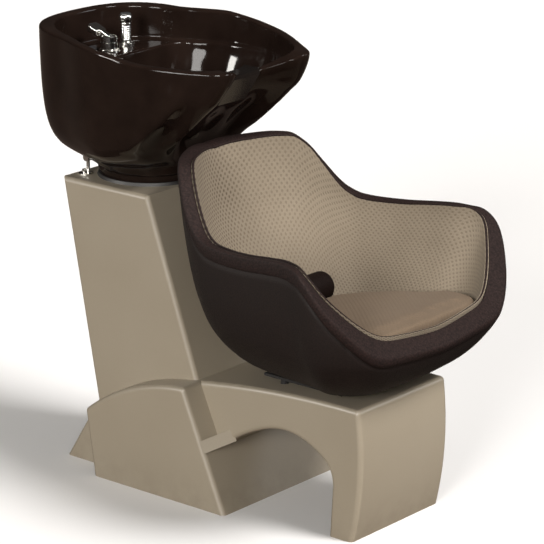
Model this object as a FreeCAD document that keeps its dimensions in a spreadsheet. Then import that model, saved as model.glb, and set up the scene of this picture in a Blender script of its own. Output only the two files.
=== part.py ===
import FreeCAD, Part
import math
import os
import re
import Sketcher
from FreeCAD import Placement, Rotation, Vector
from types import SimpleNamespace

# Salon hair washing unit: a tilting ceramic basin on a hollow moulded pedestal,
# and an upholstered tub seat on the arched bench in front of it.
# X is across the unit, -Y is where the client's feet go, Z is up.
# The origin is on the floor under the middle of the basin. All sizes are in millimetres.

doc = FreeCAD.newDocument("HairWashingBed")
sheet = doc.addObject("Spreadsheet::Sheet", "Sizes")

sizes = {
    # shared clearances
    "overrun": 10, "soft_gap": 0.5, "seat_gap": 0.3, "bolt_gap": 0.6, "running_gap": 0.05, "free_gap": 1,
    # moulded column
    "column_height": 664, "column_rear": 212, "column_front": 44, "column_halfwidth": 153,
    "column_lean": 0.357, "waist_height": 157, "waist_rear": 116, "foot_rear": 215,
    "shell_wall": 5, "edge_round": 11,
    # moulded cheeks beside the foot of the column
    "cheek_thickness": 60, "cheek_front_foot": 314, "cheek_front_top": 196, "cheek_top_height": 269,
    "cheek_rear_foot": 75, "cheek_rear_top": 99, "cheek_rear_height": 154, "cheek_crown": 25,
    # moulded bench with its arch and front leg
    "bench_front": 637, "bench_front_height": 300, "bench_top_mid": 294, "bench_joint_height": 131,
    "bench_bulge": 8, "bench_bulge_height": 192, "leg_front_foot": 622, "leg_rear_foot": 558.5,
    "leg_rear_mid": 565,
    "arch_crown_height": 208, "arch_crown_reach": 443, "arch_haunch": 18,
    "lip_length": 40, "lip_height": 26, "lip_rise": 22,
    "rail_port_halfwidth": 116, "rail_port_gap": 4,
    # screws between the two mouldings
    "joint_screw_radius": 4, "joint_screw_head": 7.5, "joint_screw_length": 20, "joint_head_height": 4.5,
    "joint_screw_x": 132,
    # service cover on the back of the column
    "cover_halfwidth": 105, "cover_low": 230, "cover_length": 330, "cover_thickness": 4,
    "cover_port_inset": 16, "cover_screw_inset": 9, "cover_screw_radius": 2.5, "cover_head_radius": 4.6,
    "cover_head_height": 2.6, "cover_screw_length": 13,
    # steel frame inside
    "plate_halfwidth": 140, "plate_front": 290, "plate_rear": 130, "plate_thickness": 6,
    "anchor_halfspan": 110, "anchor_front": 250, "anchor_rear": 90, "anchor_radius": 6,
    "post_side": 40, "post_spacing": 100, "post_wall": 3, "post_rear": 70,
    "head_top": 636, "head_thickness": 8, "head_halfwidth": 128, "head_front": 27, "head_rear": 186,
    "head_bore": 86, "rail_width": 25, "rail_height": 32, "rail_wall": 2.5, "rail_spacing": 90,
    "rail_base": 226, "rail_front": 612, "leg_post_depth": 28, "leg_plate_thickness": 5,
    "leg_plate_halfwidth": 118, "bridge_height": 287, "bridge_thickness": 5, "bridge_depth": 26,
    # seat mounting
    "seat_plate_thickness": 6, "seat_plate_base": 306, "seat_plate_halfwidth": 112,
    "seat_plate_front": 560, "seat_plate_rear": 345, "seat_bolt_front": 520, "seat_bolt_rear": 385,
    "seat_bolt_radius": 4, "seat_bolt_head": 6.5, "seat_bolt_head_height": 5.3, "seat_bolt_grip": 103,
    "spacer_radius": 9,
    # tilting ball and collar under the basin
    "ball_y": 82, "ball_z": 731, "ball_radius": 128, "ball_floor": 655, "ball_bore": 88,
    "ball_roof": 702, "collar_gap": 0.4, "collar_rise": 6.5, "collar_flange_low": 121,
    "collar_flange_high": 118, "collar_spigot": 113, "spigot_gap": 1.2, "collar_drop": 12,
    # basin
    "basin_halfwidth": 248, "basin_halflength": 300, "basin_top": 1004.5, "basin_floor": 689,
    "deck_height": 927, "notch_height": 926,
    "cavity_halfwidth": 85, "cavity_front": 172, "cavity_rear": 238, "cavity_floor": 768,
    "cavity_roof": 905, "hose_way_radius": 22, "hose_way_y": 140, "waste_radius": 24,
    # neck rest over the notch
    "neck_halfwidth": 46, "neck_thickness": 8, "neck_outer_low": 864, "neck_inner_low": 900,
    "neck_outer_foot": 158, "neck_outer_brow": 200, "neck_inner_brow": 156, "neck_inner_foot": 143,
    "neck_block_rise": 24,
    # waste fittings
    "flange_radius": 36, "flange_base": 722.4, "flange_thickness": 3, "waste_tube_radius": 22.5,
    "waste_tube_bore": 19, "waste_tube_foot": 680, "waste_nut_radius": 30, "waste_nut_height": 12,
    "union_radius": 26, "union_foot": 672, "union_head": 686, "union_floor": 3,
    "tailpiece_radius": 16, "tailpiece_bore": 14, "tailpiece_foot": 625,
    "strainer_radius": 22, "strainer_body": 17.5, "strainer_depth": 12, "strainer_wall": 1.2,
    "strainer_hole": 1.8, "strainer_ring": 9, "strainer_knob_radius": 3, "strainer_knob_height": 14,
    "cup_bore": 34, "cup_wall": 2.5, "cup_rim": 633, "cup_floor": 585, "cup_socket": 25,
    "cup_socket_foot": 562, "drain_radius": 20, "drain_bore": 17, "trap_bend": 35, "trap_low": 435,
    "trap_high": 545, "trap_end": 470, "drain_socket": 24, "drain_socket_length": 30,
    "drain_port": 20.3, "drain_foot": 2,
    # supply
    "inlet_x": 60, "inlet_y": 88, "inlet_radius": 7.5, "valve_height": 300, "valve_body": 13,
    "valve_length": 60, "valve_lever_length": 44, "valve_lever_width": 11,
    "valve_lever_thickness": 2.5, "valve_stem_radius": 3.5, "valve_stem_length": 5, "hose_radius": 5,
    "inlet_port_gap": 3, "hose_bend": 60, "hose_rise": 470, "hose_cross": 640, "hose_cross_y": 141,
    "hose_cross_x": 11, "hose_turn": 812,
    # mixer on the deck
    "mixer_y": 205, "mixer_radius": 19, "mixer_height": 20, "mixer_foot_radius": 24,
    "mixer_foot_height": 5, "shank_radius": 15, "shank_length": 40, "mixer_nut_radius": 24,
    "mixer_nut_height": 9, "cap_radius": 18, "cap_height": 15, "cap_floor": 2, "cap_slot": 9.8,
    "lever_root": 7, "lever_pin_radius": 3, "lever_pivot_height": 957, "lever_length": 60,
    "lever_tip": 14, "lever_angle": 18, "lever_round": 3,
    "tail_radius": 5, "tail_length": 24, "tail_spacing": 9,
    # pull-out hand shower
    "shower_x": 56, "holder_radius": 20, "holder_height": 8, "holder_spigot": 16,
    "shower_radius": 13.5, "shower_foot": 915, "shower_ring": 16.5, "shower_ring_height": 4,
    "shower_top": 984, "shower_head_radius": 15, "shower_head_height": 16, "shower_hose_radius": 7,
    "shower_hose_length": 90, "face_radius": 12.5, "face_thickness": 3,
    # tilt rod at the client's right rear
    "rod_x": 94, "rod_y": 187, "rod_flange_x": 102, "rod_pivot_height": 700.5, "rod_radius": 4, "rod_foot": 642,
    "rod_eye_radius": 7, "rod_eye_thickness": 7, "rod_pin_radius": 2.5, "lug_thickness": 4,
    "lug_halfwidth": 8, "lug_top": 726, "lug_gap": 0.6, "rod_flange_radius": 17,
    "rod_flange_thickness": 2.5, "rod_slot_front": 11, "rod_slot_rear": 7, "rod_slot_gap": 1,
    "wing_x": 104.5, "wing_y": 190, "wing_stem_radius": 2.5, "wing_stem_height": 4,
    "wing_halflength": 5.5, "wing_thickness": 2.4, "wing_height": 9, "wing_boss_radius": 3.4,
    "wing_fin_height": 7.2,
    # tub seat
    "seat_halfwidth": 328, "seat_back": 76, "seat_front": 763, "seat_bottom": 312.5, "seat_top": 763,
    "cover_skin": 12, "shell_skin": 6, "border_thickness": 10, "border_drop": 32, "bead_width": 8,
    "rim_axis_y": 430, "rim_step": 32,
    "cushion_crown_radius": 3000, "cushion_middle_height": 462, "cushion_middle_y": 505,
    "cushion_tilt": 11.7, "cushion_side_gap": 1.5, "cushion_round": 9,
    "roll_radius": 34, "roll_halflength": 112, "roll_y": 338, "roll_height": 458.6,
}

for row, (name, value) in enumerate(sizes.items(), start=1):
    sheet.set(f"A{row}", name)
    sheet.set(f"B{row}", str(value))
    sheet.setAlias(f"B{row}", name)
doc.recompute()
v = SimpleNamespace(**{name: float(sheet.get(name)) for name in sizes})

nodes = {}


# Formulas are written with the plain names above and bound to the sheet's cells.
def bound(formula):
    return re.sub(r"[a-z_]\w*", lambda word: "Sizes." + word[0] if word[0] in sizes else word[0], formula)


def bind(item, **formulas):
    for name, formula in formulas.items():
        item.setExpression(name.replace("__", "."), bound(formula))
    return item


axisTurns = {
    "Z": Rotation(),
    "X": Rotation(Vector(0, 1, 0), 90),
    "Y": Rotation(Vector(1, 0, 0), -90),
}


def place(item, x="0", y="0", z="0", axis="Z"):
    item.Placement = Placement(Vector(0, 0, 0), axisTurns[axis])
    return bind(item, Placement__Base__x=x, Placement__Base__y=y, Placement__Base__z=z)


def block(name, length, width, height, x="0", y="0", z="0"):
    item = doc.addObject("Part::Box", name)
    bind(item, Length=length, Width=width, Height=height)
    return place(item, x, y, z)


def rod(name, radius, height, x="0", y="0", z="0", axis="Z"):
    item = doc.addObject("Part::Cylinder", name)
    bind(item, Radius=radius, Height=height)
    return place(item, x, y, z, axis)


def ball(name, radius, x="0", y="0", z="0"):
    item = doc.addObject("Part::Sphere", name)
    bind(item, Radius=radius)
    return place(item, x, y, z)


def fuse(name, *items):
    item = doc.addObject("Part::MultiFuse", name)
    item.Shapes = list(items)
    return item


def cut(name, base, *tools):
    item = doc.addObject("Part::Cut", name)
    item.Base = base
    item.Tool = tools[0] if len(tools) == 1 else fuse(name + "_tools", *tools)
    return item


def group(name, items):
    item = doc.addObject("Part::Compound", name)
    item.Links = list(items)
    return item


def shaped(name, shape):
    item = doc.addObject("Part::Feature", name)
    item.Shape = shape
    item.Placement = shape.Placement
    return item


def node(name, item):
    item.Label = name
    nodes[name] = item
    return item


# PartDesign helpers: a body, a sketch on one of its own planes, and closed outlines in it.
def newBody(name):
    return doc.addObject("PartDesign::Body", name)


def sketchOn(body, name, role):
    sketch = body.newObject("Sketcher::SketchObject", name)
    plane = next(item for item in body.Origin.OriginFeatures if item.Role == role)
    sketch.AttachmentSupport = [(plane, "")]
    sketch.MapMode = "FlatFace"
    return sketch


def dimension(sketch, kind, parts, formula, label):
    index = sketch.addConstraint(Sketcher.Constraint(kind, *parts, 1.0))
    sketch.renameConstraint(index, label)
    sketch.setExpression("Constraints." + label, bound(formula))


def rectangle(sketch, left, bottom, width, height, label):
    corners = [Vector(0, 0, 0), Vector(1, 0, 0), Vector(1, 1, 0), Vector(0, 1, 0)]
    first = sketch.GeometryCount
    for index in range(4):
        sketch.addGeometry(Part.LineSegment(corners[index], corners[(index + 1) % 4]), False)
    for index in range(4):
        following = first + (index + 1) % 4
        sketch.addConstraint(Sketcher.Constraint("Coincident", first + index, 2, following, 1))
        kind = "Horizontal" if index % 2 == 0 else "Vertical"
        sketch.addConstraint(Sketcher.Constraint(kind, first + index))
    dimension(sketch, "DistanceX", (first, 1, first, 2), width, label + "_width")
    dimension(sketch, "DistanceY", (first + 1, 1, first + 1, 2), height, label + "_height")
    dimension(sketch, "DistanceX", (-1, 1, first, 1), left, label + "_left")
    dimension(sketch, "DistanceY", (-1, 1, first, 1), bottom, label + "_bottom")


def circle(sketch, x, y, radius, label):
    index = sketch.addGeometry(Part.Circle(Vector(0, 0, 0), Vector(0, 0, 1), 1), False)
    dimension(sketch, "Radius", (index,), radius, label + "_radius")
    dimension(sketch, "DistanceX", (-1, 1, index, 3), x, label + "_x")
    dimension(sketch, "DistanceY", (-1, 1, index, 3), y, label + "_y")


def pad(body, sketch, name, length, offset="0"):
    item = body.newObject("PartDesign::Pad", name)
    item.Profile = sketch
    bind(item, Length=length)
    bind(sketch, AttachmentOffset__Base__z=offset)
    return item


def pocket(body, sketch, name):
    item = body.newObject("PartDesign::Pocket", name)
    item.Profile = sketch
    item.Type = "ThroughAll"
    item.Midplane = True
    return item


# Outline helpers for the lofted and extruded mouldings.
def side(y, z, x=0):
    return Vector(x, y, z)


def line(start, end):
    return Part.LineSegment(start, end).toShape()


def arc(start, middle, end):
    return Part.Arc(start, middle, end).toShape()


def polygon(points):
    return Part.makePolygon(points + [points[0]])


# A closed outline in the YZ plane, grown into a solid that is centred on the plane x = 0.
def spread(wire, halfwidth):
    face = Part.Face(wire)
    face.translate(Vector(-halfwidth, 0, 0))
    return face.extrude(Vector(2 * halfwidth, 0, 0))


# The outline moved inwards by a wall thickness, with its curves taken as short straight runs.
def inset(wire, distance):
    points = []
    for edge in wire.OrderedEdges:
        count = 2 if isinstance(edge.Curve, Part.Line) else 13
        run = edge.discretize(count)
        if edge.Orientation == "Reversed":
            run.reverse()
        points += run[:-1]
    return polygon(points).makeOffset2D(-distance, 2)


def roundEdges(solid, radius, wanted):
    return solid.makeFillet(radius, [edge for edge in solid.Edges if wanted(edge)])


# Parameter steps that every outline of one loft shares, from the lengths of its widest one.
def sharedSteps(points):
    steps = [0.0]
    for start, end in zip(points, points[1:]):
        steps.append(steps[-1] + start.distanceToPoint(end))
    return steps


# A half outline: smooth through its points from the back round to the front, closed along x = 0.
def halfOutline(points, steps):
    curve = Part.BSplineCurve()
    outwards = Vector(1, 0, 0)
    curve.interpolate(Points=points, Parameters=steps, InitialTangent=outwards, FinalTangent=-outwards)
    return Part.Wire([curve.toShape(), line(points[-1], points[0])])


# Solid through half outlines. Everything lofted here is made on one side of x = 0 and mirrored.
def halfLoft(outlines, widest=-1):
    steps = sharedSteps(outlines[widest])
    return Part.makeLoft([halfOutline(points, steps) for points in outlines], True, False)


def bothSides(half):
    return half.fuse(half.mirror(Vector(0, 0, 0), Vector(1, 0, 0)))


# Pipe with a round section along straight runs joined by tangent arcs.
def runsAndArcs(points, radius):
    edges = []
    start = points[0]
    for index in range(1, len(points) - 1):
        corner = points[index]
        into = (corner - points[index - 1]).normalize()
        away = (points[index + 1] - corner).normalize()
        half = into.getAngle(away) / 2
        reach = radius * math.tan(half)
        begin = corner - into * reach
        end = corner + away * reach
        inward = (away - into).normalize()
        middle = corner + inward * (radius / math.cos(half) - radius)
        edges.append(line(start, begin))
        edges.append(arc(begin, middle, end))
        start = end
    edges.append(line(start, points[-1]))
    return Part.Wire(edges)


def pipe(path, radius):
    first = path.Edges[0]
    begin = first.valueAt(first.FirstParameter)
    heading = first.tangentAt(first.FirstParameter)
    section = Part.Wire([Part.Circle(begin, heading, radius).toShape()])
    return path.makePipeShell([section], True, False)


# Moulded pedestal

columnFrontFoot = v.column_front + v.column_lean * v.column_height
outerWidth = v.column_halfwidth + v.cheek_thickness


def columnFrontAt(height):
    return -columnFrontFoot + v.column_lean * height


# The cheeks' front edge is a straight line that the bench moulding meets.
def cheekFrontAt(height):
    slope = (v.cheek_front_foot - v.cheek_front_top) / v.cheek_top_height
    return -v.cheek_front_foot + slope * height


def columnOutline(foot):
    slope = (v.foot_rear - v.waist_rear) / v.waist_height
    ledge = v.cheek_top_height
    return polygon([
        side(v.column_rear, v.column_height),
        side(-v.column_front, v.column_height),
        side(columnFrontAt(ledge), ledge),
        side(cheekFrontAt(ledge), ledge),
        side(cheekFrontAt(foot), foot),
        side(v.foot_rear - slope * foot, foot),
        side(v.waist_rear, v.waist_height),
    ])


def cheekOutline(foot):
    top = side(-v.cheek_front_top, v.cheek_top_height)
    rear = side(v.cheek_rear_top, v.cheek_rear_height)
    chord = rear - top
    crown = (top + rear) * 0.5 + Vector(0, -chord.z, chord.y).normalize() * v.cheek_crown
    slope = (v.cheek_rear_top - v.cheek_rear_foot) / v.cheek_rear_height
    rearFoot = side(v.cheek_rear_foot + slope * foot, foot)
    frontFoot = side(cheekFrontAt(foot), foot)
    return Part.Wire([
        arc(top, crown, rear), line(rear, rearFoot), line(rearFoot, frontFoot), line(frontFoot, top)])


# An edge that doesn't lie on the floor.
def aboveFloor(edge):
    heights = [vertex.Point.z for vertex in edge.Vertexes]
    return min(heights) > v.edge_round or abs(heights[0] - heights[-1]) > v.edge_round


# An edge along the column's outline and not across its width.
def isLongSide(edge):
    ends = [vertex.Point for vertex in edge.Vertexes]
    return aboveFloor(edge) and abs(ends[0].x - ends[-1].x) < v.edge_round


def rearFacePlacement(height, outward):
    lean = math.atan2(v.column_rear - v.waist_rear, v.column_height - v.waist_height)
    along = (height - v.waist_height) / math.cos(lean)
    y = v.waist_rear + along * math.sin(lean) + outward * math.cos(lean)
    z = v.waist_height + along * math.cos(lean) - outward * math.sin(lean)
    return Placement(Vector(0, y, z), Rotation(Vector(1, 0, 0), -math.degrees(lean)))


def railPort():
    low = v.rail_base - v.rail_port_gap
    depth = v.rail_height + 2 * v.rail_port_gap
    reach = v.arch_crown_reach
    return Part.makeBox(2 * v.rail_port_halfwidth, reach, depth, Vector(-v.rail_port_halfwidth, -reach, low))


def makePedestal():
    column = roundEdges(spread(columnOutline(0), v.column_halfwidth), v.edge_round, isLongSide)
    cheeks = roundEdges(spread(cheekOutline(0), outerWidth), v.edge_round, aboveFloor)
    outer = column.fuse(cheeks)
    below = -v.overrun
    hollowColumn = spread(inset(columnOutline(below), v.shell_wall), v.column_halfwidth - v.shell_wall)
    hollowCheeks = spread(inset(cheekOutline(below), v.shell_wall), outerWidth - v.shell_wall)
    mouth = Part.makeCylinder(
        v.collar_spigot + v.spigot_gap, 2 * v.overrun, Vector(0, v.ball_y, v.column_height - v.overrun))
    slot = rodSlot(v.column_height - v.overrun, 2 * v.overrun)
    port = Part.makeBox(
        2 * (v.cover_halfwidth - v.cover_port_inset), 4 * v.overrun, v.cover_length - 2 * v.cover_port_inset,
        Vector(-v.cover_halfwidth + v.cover_port_inset, -2 * v.overrun, v.cover_port_inset))
    port.Placement = rearFacePlacement(v.cover_low, 0)
    cutters = [hollowColumn, hollowCheeks, mouth, slot, port, railPort()]
    cutters += [coverScrew(x, z, v.bolt_gap) for x, z in coverScrewPlaces()]
    cutters += [jointScrew(x, share, v.bolt_gap) for x, share in jointScrewPlaces()]
    return outer.cut(cutters)


# The slot lets the tilt rod move a little fore and aft as the basin tilts.
def rodSlot(base, height, grow=0):
    radius = v.rod_radius + v.rod_slot_gap + grow
    front = Vector(-v.rod_x, v.rod_y - v.rod_slot_front + v.rod_radius, base)
    rear = Vector(-v.rod_x, v.rod_y + v.rod_slot_rear - v.rod_radius, base)
    ends = [Part.makeCylinder(radius, height, spot) for spot in (front, rear)]
    middle = Part.makeBox(2 * radius, rear.y - front.y, height, front - Vector(radius, 0, 0))
    return middle.fuse(ends)


def coverScrewPlaces():
    across = v.cover_halfwidth - v.cover_screw_inset
    heights = (v.cover_screw_inset, v.cover_length - v.cover_screw_inset)
    return [(x, z) for x in (-across, across) for z in heights]


# A pan-head screw square to the column's leaning back.
def coverScrew(x, z, grow=0):
    shank = Part.makeCylinder(
        v.cover_screw_radius + grow, v.cover_screw_length, Vector(x, v.cover_thickness, z), Vector(0, -1, 0))
    head = Part.makeCylinder(
        v.cover_head_radius, v.cover_head_height, Vector(x, v.cover_thickness, z), Vector(0, 1, 0))
    screw = shank if grow else shank.fuse(head)
    screw.Placement = rearFacePlacement(v.cover_low, 0)
    return screw


def makeCover():
    corner = Vector(-v.cover_halfwidth, 0, 0)
    plate = Part.makeBox(2 * v.cover_halfwidth, v.cover_thickness, v.cover_length, corner)
    plate = roundEdges(plate, v.edge_round, lambda edge: abs(edge.tangentAt(0).y) > 0.9)
    plate.Placement = rearFacePlacement(v.cover_low, 0)
    return plate.cut([coverScrew(x, z, v.bolt_gap) for x, z in coverScrewPlaces()])


# Moulded bench

jointTop = side(cheekFrontAt(v.cheek_top_height), v.cheek_top_height)
jointLow = side(cheekFrontAt(v.bench_joint_height), v.bench_joint_height)


def archPoints():
    crown = side(-v.arch_crown_reach, v.arch_crown_height)
    springing = side(-v.leg_rear_mid, v.arch_crown_height / 2)
    backHaunch = (jointLow + crown) * 0.5 + Vector(0, 0, v.arch_haunch)
    reach = v.leg_rear_mid - v.arch_crown_reach
    rise = v.arch_crown_height / 2
    frontHaunch = side(-v.arch_crown_reach - reach * math.sin(math.pi / 4), rise + rise * math.cos(math.pi / 4))
    return crown, springing, backHaunch, frontHaunch


def archCurve():
    crown, springing, backHaunch, frontHaunch = archPoints()
    curve = Part.BSplineCurve()
    legSlope = side(-v.leg_rear_foot, 0) - springing
    curve.interpolate(Points=[jointLow, backHaunch, crown, frontHaunch, springing],
                      InitialTangent=(backHaunch - jointLow) + side(0, v.arch_haunch), FinalTangent=legSlope)
    return curve


# The bench's side outline, carried past the joint by an extra reach where edges are to be rounded.
def benchOutline(foot, reach=0):
    underside = archCurve()
    springing = underside.value(underside.LastParameter)
    legRear = side(-v.leg_rear_foot, foot)
    legFront = side(-v.leg_front_foot, foot)
    topFront = side(-v.bench_front, v.bench_front_height)
    topMiddle = side((topFront.y + jointTop.y) / 2, v.bench_top_mid)
    bulge = side(-v.bench_front - v.bench_bulge, v.bench_bulge_height)
    top = Part.Arc(topFront, topMiddle, jointTop)
    edges = [underside.toShape(), line(springing, legRear), line(legRear, legFront),
             arc(legFront, bulge, topFront), top.toShape()]
    if reach:
        topEnd = jointTop + top.tangent(top.LastParameter)[0] * reach
        lowEnd = jointLow - underside.tangent(underside.FirstParameter)[0] * reach
        edges += [line(jointTop, topEnd), line(topEnd, lowEnd), line(lowEnd, jointLow)]
    else:
        edges += [line(jointTop, jointLow)]
    return Part.Wire(Part.__sortEdges__(edges))


# The space behind the slanted joint face.
def behindJoint():
    beyond = (jointTop - jointLow) * 2
    back = side(v.column_rear, 0)
    corners = [jointLow - beyond, jointTop + beyond, jointTop + beyond + back, jointLow - beyond + back]
    return spread(polygon(corners), 2 * v.column_halfwidth)


# At the foot of the groove beside each cheek the bench's side flares out to the cheek.
def lip(hand):
    inner = v.column_halfwidth - v.shell_wall
    outlines = []
    for height in (v.bench_joint_height, v.bench_joint_height + v.lip_height):
        joint = cheekFrontAt(height)
        outlines.append(polygon([
            Vector(hand * inner, joint, height), Vector(hand * outerWidth, joint, height),
            Vector(hand * inner, joint - v.lip_length, height + v.lip_rise)]))
    return Part.makeLoft(outlines, True, True)


def spacerPlaces():
    return [(x, y) for x in (-v.rail_spacing, v.rail_spacing) for y in (-v.seat_bolt_front, -v.seat_bolt_rear)]


def makeBench():
    outer = spread(benchOutline(0, v.cheek_thickness), v.column_halfwidth)
    outer = roundEdges(outer, v.edge_round, benchEdge).cut(behindJoint())
    outer = outer.fuse([lip(1), lip(-1)])
    hollow = spread(inset(benchOutline(-v.overrun), v.shell_wall), v.column_halfwidth - v.shell_wall)
    reach = v.seat_plate_base - v.rail_base
    holes = [Part.makeCylinder(v.spacer_radius + v.free_gap, reach, Vector(x, y, v.rail_base))
             for x, y in spacerPlaces()]
    screws = [jointScrew(x, share, v.bolt_gap) for x, share in jointScrewPlaces()]
    return outer.cut([hollow, railPort()] + holes + screws)


# The long edges along the sides and the front edge of the top.
def benchEdge(edge):
    ends = [vertex.Point for vertex in edge.Vertexes]
    if min(point.y for point in ends) > jointLow.y + v.edge_round and abs(ends[0].x - ends[-1].x) > v.edge_round:
        return False
    behind = all(point.y > cheekFrontAt(point.z) + v.edge_round for point in ends)
    crossing = abs(ends[0].x - ends[-1].x) > v.edge_round
    topFront = crossing and all(point.y < -v.leg_front_foot and point.z > v.arch_crown_height for point in ends)
    return topFront or (not crossing and not behind and aboveFloor(edge))


def jointScrewPlaces():
    heightShares = (0.2, 0.84)
    return [(x, share) for x in (-v.joint_screw_x, v.joint_screw_x) for share in heightShares]


# A screw through the joint face, square to it, with its head inside the pedestal.
def jointScrew(x, share, grow=0):
    spot = jointLow + (jointTop - jointLow) * share + Vector(x, 0, 0)
    normal = Vector(0, -(jointTop - jointLow).z, (jointTop - jointLow).y).normalize()
    start = spot - normal * (v.shell_wall)
    shank = Part.makeCylinder(v.joint_screw_radius + grow, v.joint_screw_length, start, normal)
    if grow:
        return shank
    head = Part.makeCylinder(v.joint_screw_head, v.joint_head_height, start, normal * -1)
    nutStart = spot + normal * v.shell_wall
    nut = Part.makeCylinder(v.joint_screw_head, v.joint_head_height, nutStart, normal)
    return shank.fuse([head, nut])


# Steel frame inside

def makeFloorPlate():
    body = newBody("FloorPlate")
    outline = sketchOn(body, "FloorPlateOutline", "XY_Plane")
    rectangle(outline, "-plate_halfwidth", "-plate_front", "2 * plate_halfwidth", "plate_front + plate_rear",
              "plate")
    pad(body, outline, "FloorPlatePad", "plate_thickness")
    holes = sketchOn(body, "FloorPlateHoles", "XY_Plane")
    spots = [(x, y) for x in ("-anchor_halfspan", "anchor_halfspan") for y in ("-anchor_front", "anchor_rear")]
    for index, (x, y) in enumerate(spots):
        circle(holes, x, y, "anchor_radius", f"anchor_{index}")
    circle(holes, "0", "ball_y - 4 * trap_bend", "drain_port", "drain")
    circle(holes, "-inlet_x", "inlet_y", "inlet_radius + inlet_port_gap", "cold")
    circle(holes, "inlet_x", "inlet_y", "inlet_radius + inlet_port_gap", "hot")
    body.Tip = pocket(body, holes, "FloorPlatePocket")
    return body


def tube(name, width, depth, height, wall, x, y, z, along="Z"):
    outer = block(name + "_outer", width, depth, height, x, y, z)
    grown = {"X": ("overrun", "0", "0"), "Y": ("0", "overrun", "0"), "Z": ("0", "0", "overrun")}[along]
    inner = [f"({size}) - 2 * {wall}" if extra == "0" else f"({size}) + 2 * overrun"
             for size, extra in zip((width, depth, height), grown)]
    corner = [f"({spot}) + {wall}" if extra == "0" else f"({spot}) - overrun"
              for spot, extra in zip((x, y, z), grown)]
    return cut(name, outer, block(name + "_inner", *inner, *corner))


def makePosts():
    height = "head_top - head_thickness - plate_thickness"
    left = "-post_spacing - post_side / 2"
    right = "post_spacing - post_side / 2"
    return group("MastPosts", [
        tube(name, "post_side", "post_side", height, "post_wall", x, "post_rear - post_side", "plate_thickness")
        for name, x in (("PostRight", left), ("PostLeft", right))])


def makeHead():
    body = newBody("MastHead")
    outline = sketchOn(body, "MastHeadOutline", "XY_Plane")
    rectangle(outline, "-head_halfwidth", "-head_front", "2 * head_halfwidth", "head_front + head_rear", "head")
    pad(body, outline, "MastHeadPad", "head_thickness", "head_top - head_thickness")
    holes = sketchOn(body, "MastHeadHole", "XY_Plane")
    circle(holes, "0", "ball_y", "head_bore", "way")
    body.Tip = pocket(body, holes, "MastHeadPocket")
    return cut("MastHeadCut", body, headSlot())


def headSlot():
    low = v.head_top - 2 * v.head_thickness
    return shaped("MastHeadSlot", rodSlot(low, 3 * v.head_thickness, v.rod_slot_gap))


railRight = "-rail_spacing - rail_width / 2"
railLeft = "rail_spacing - rail_width / 2"


def makeRails():
    start = "-rail_front"
    length = "rail_front + post_rear - post_side"
    return group("BenchRails", [
        tube(name, "rail_width", length, "rail_height", "rail_wall", x, start, "rail_base", "Y")
        for name, x in (("RailRight", railRight), ("RailLeft", railLeft))])


def makeLegPosts():
    base = "leg_plate_thickness"
    height = "rail_base - leg_plate_thickness"
    posts = [tube(name, "rail_width", "leg_post_depth", height, "rail_wall", x, "-rail_front", base)
             for name, x in (("LegRight", railRight), ("LegLeft", railLeft))]
    foot = block("LegPlate", "2 * leg_plate_halfwidth", "leg_post_depth", base,
                 "-leg_plate_halfwidth", "-rail_front")
    return fuse("LegFrame", foot, *posts)


def makeBridge():
    y = "post_rear"
    return block("ValveBridge", "2 * (post_spacing + post_side / 2)", "bridge_thickness", "bridge_depth",
                 "-post_spacing - post_side / 2", y, "bridge_height")


# Basin

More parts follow.
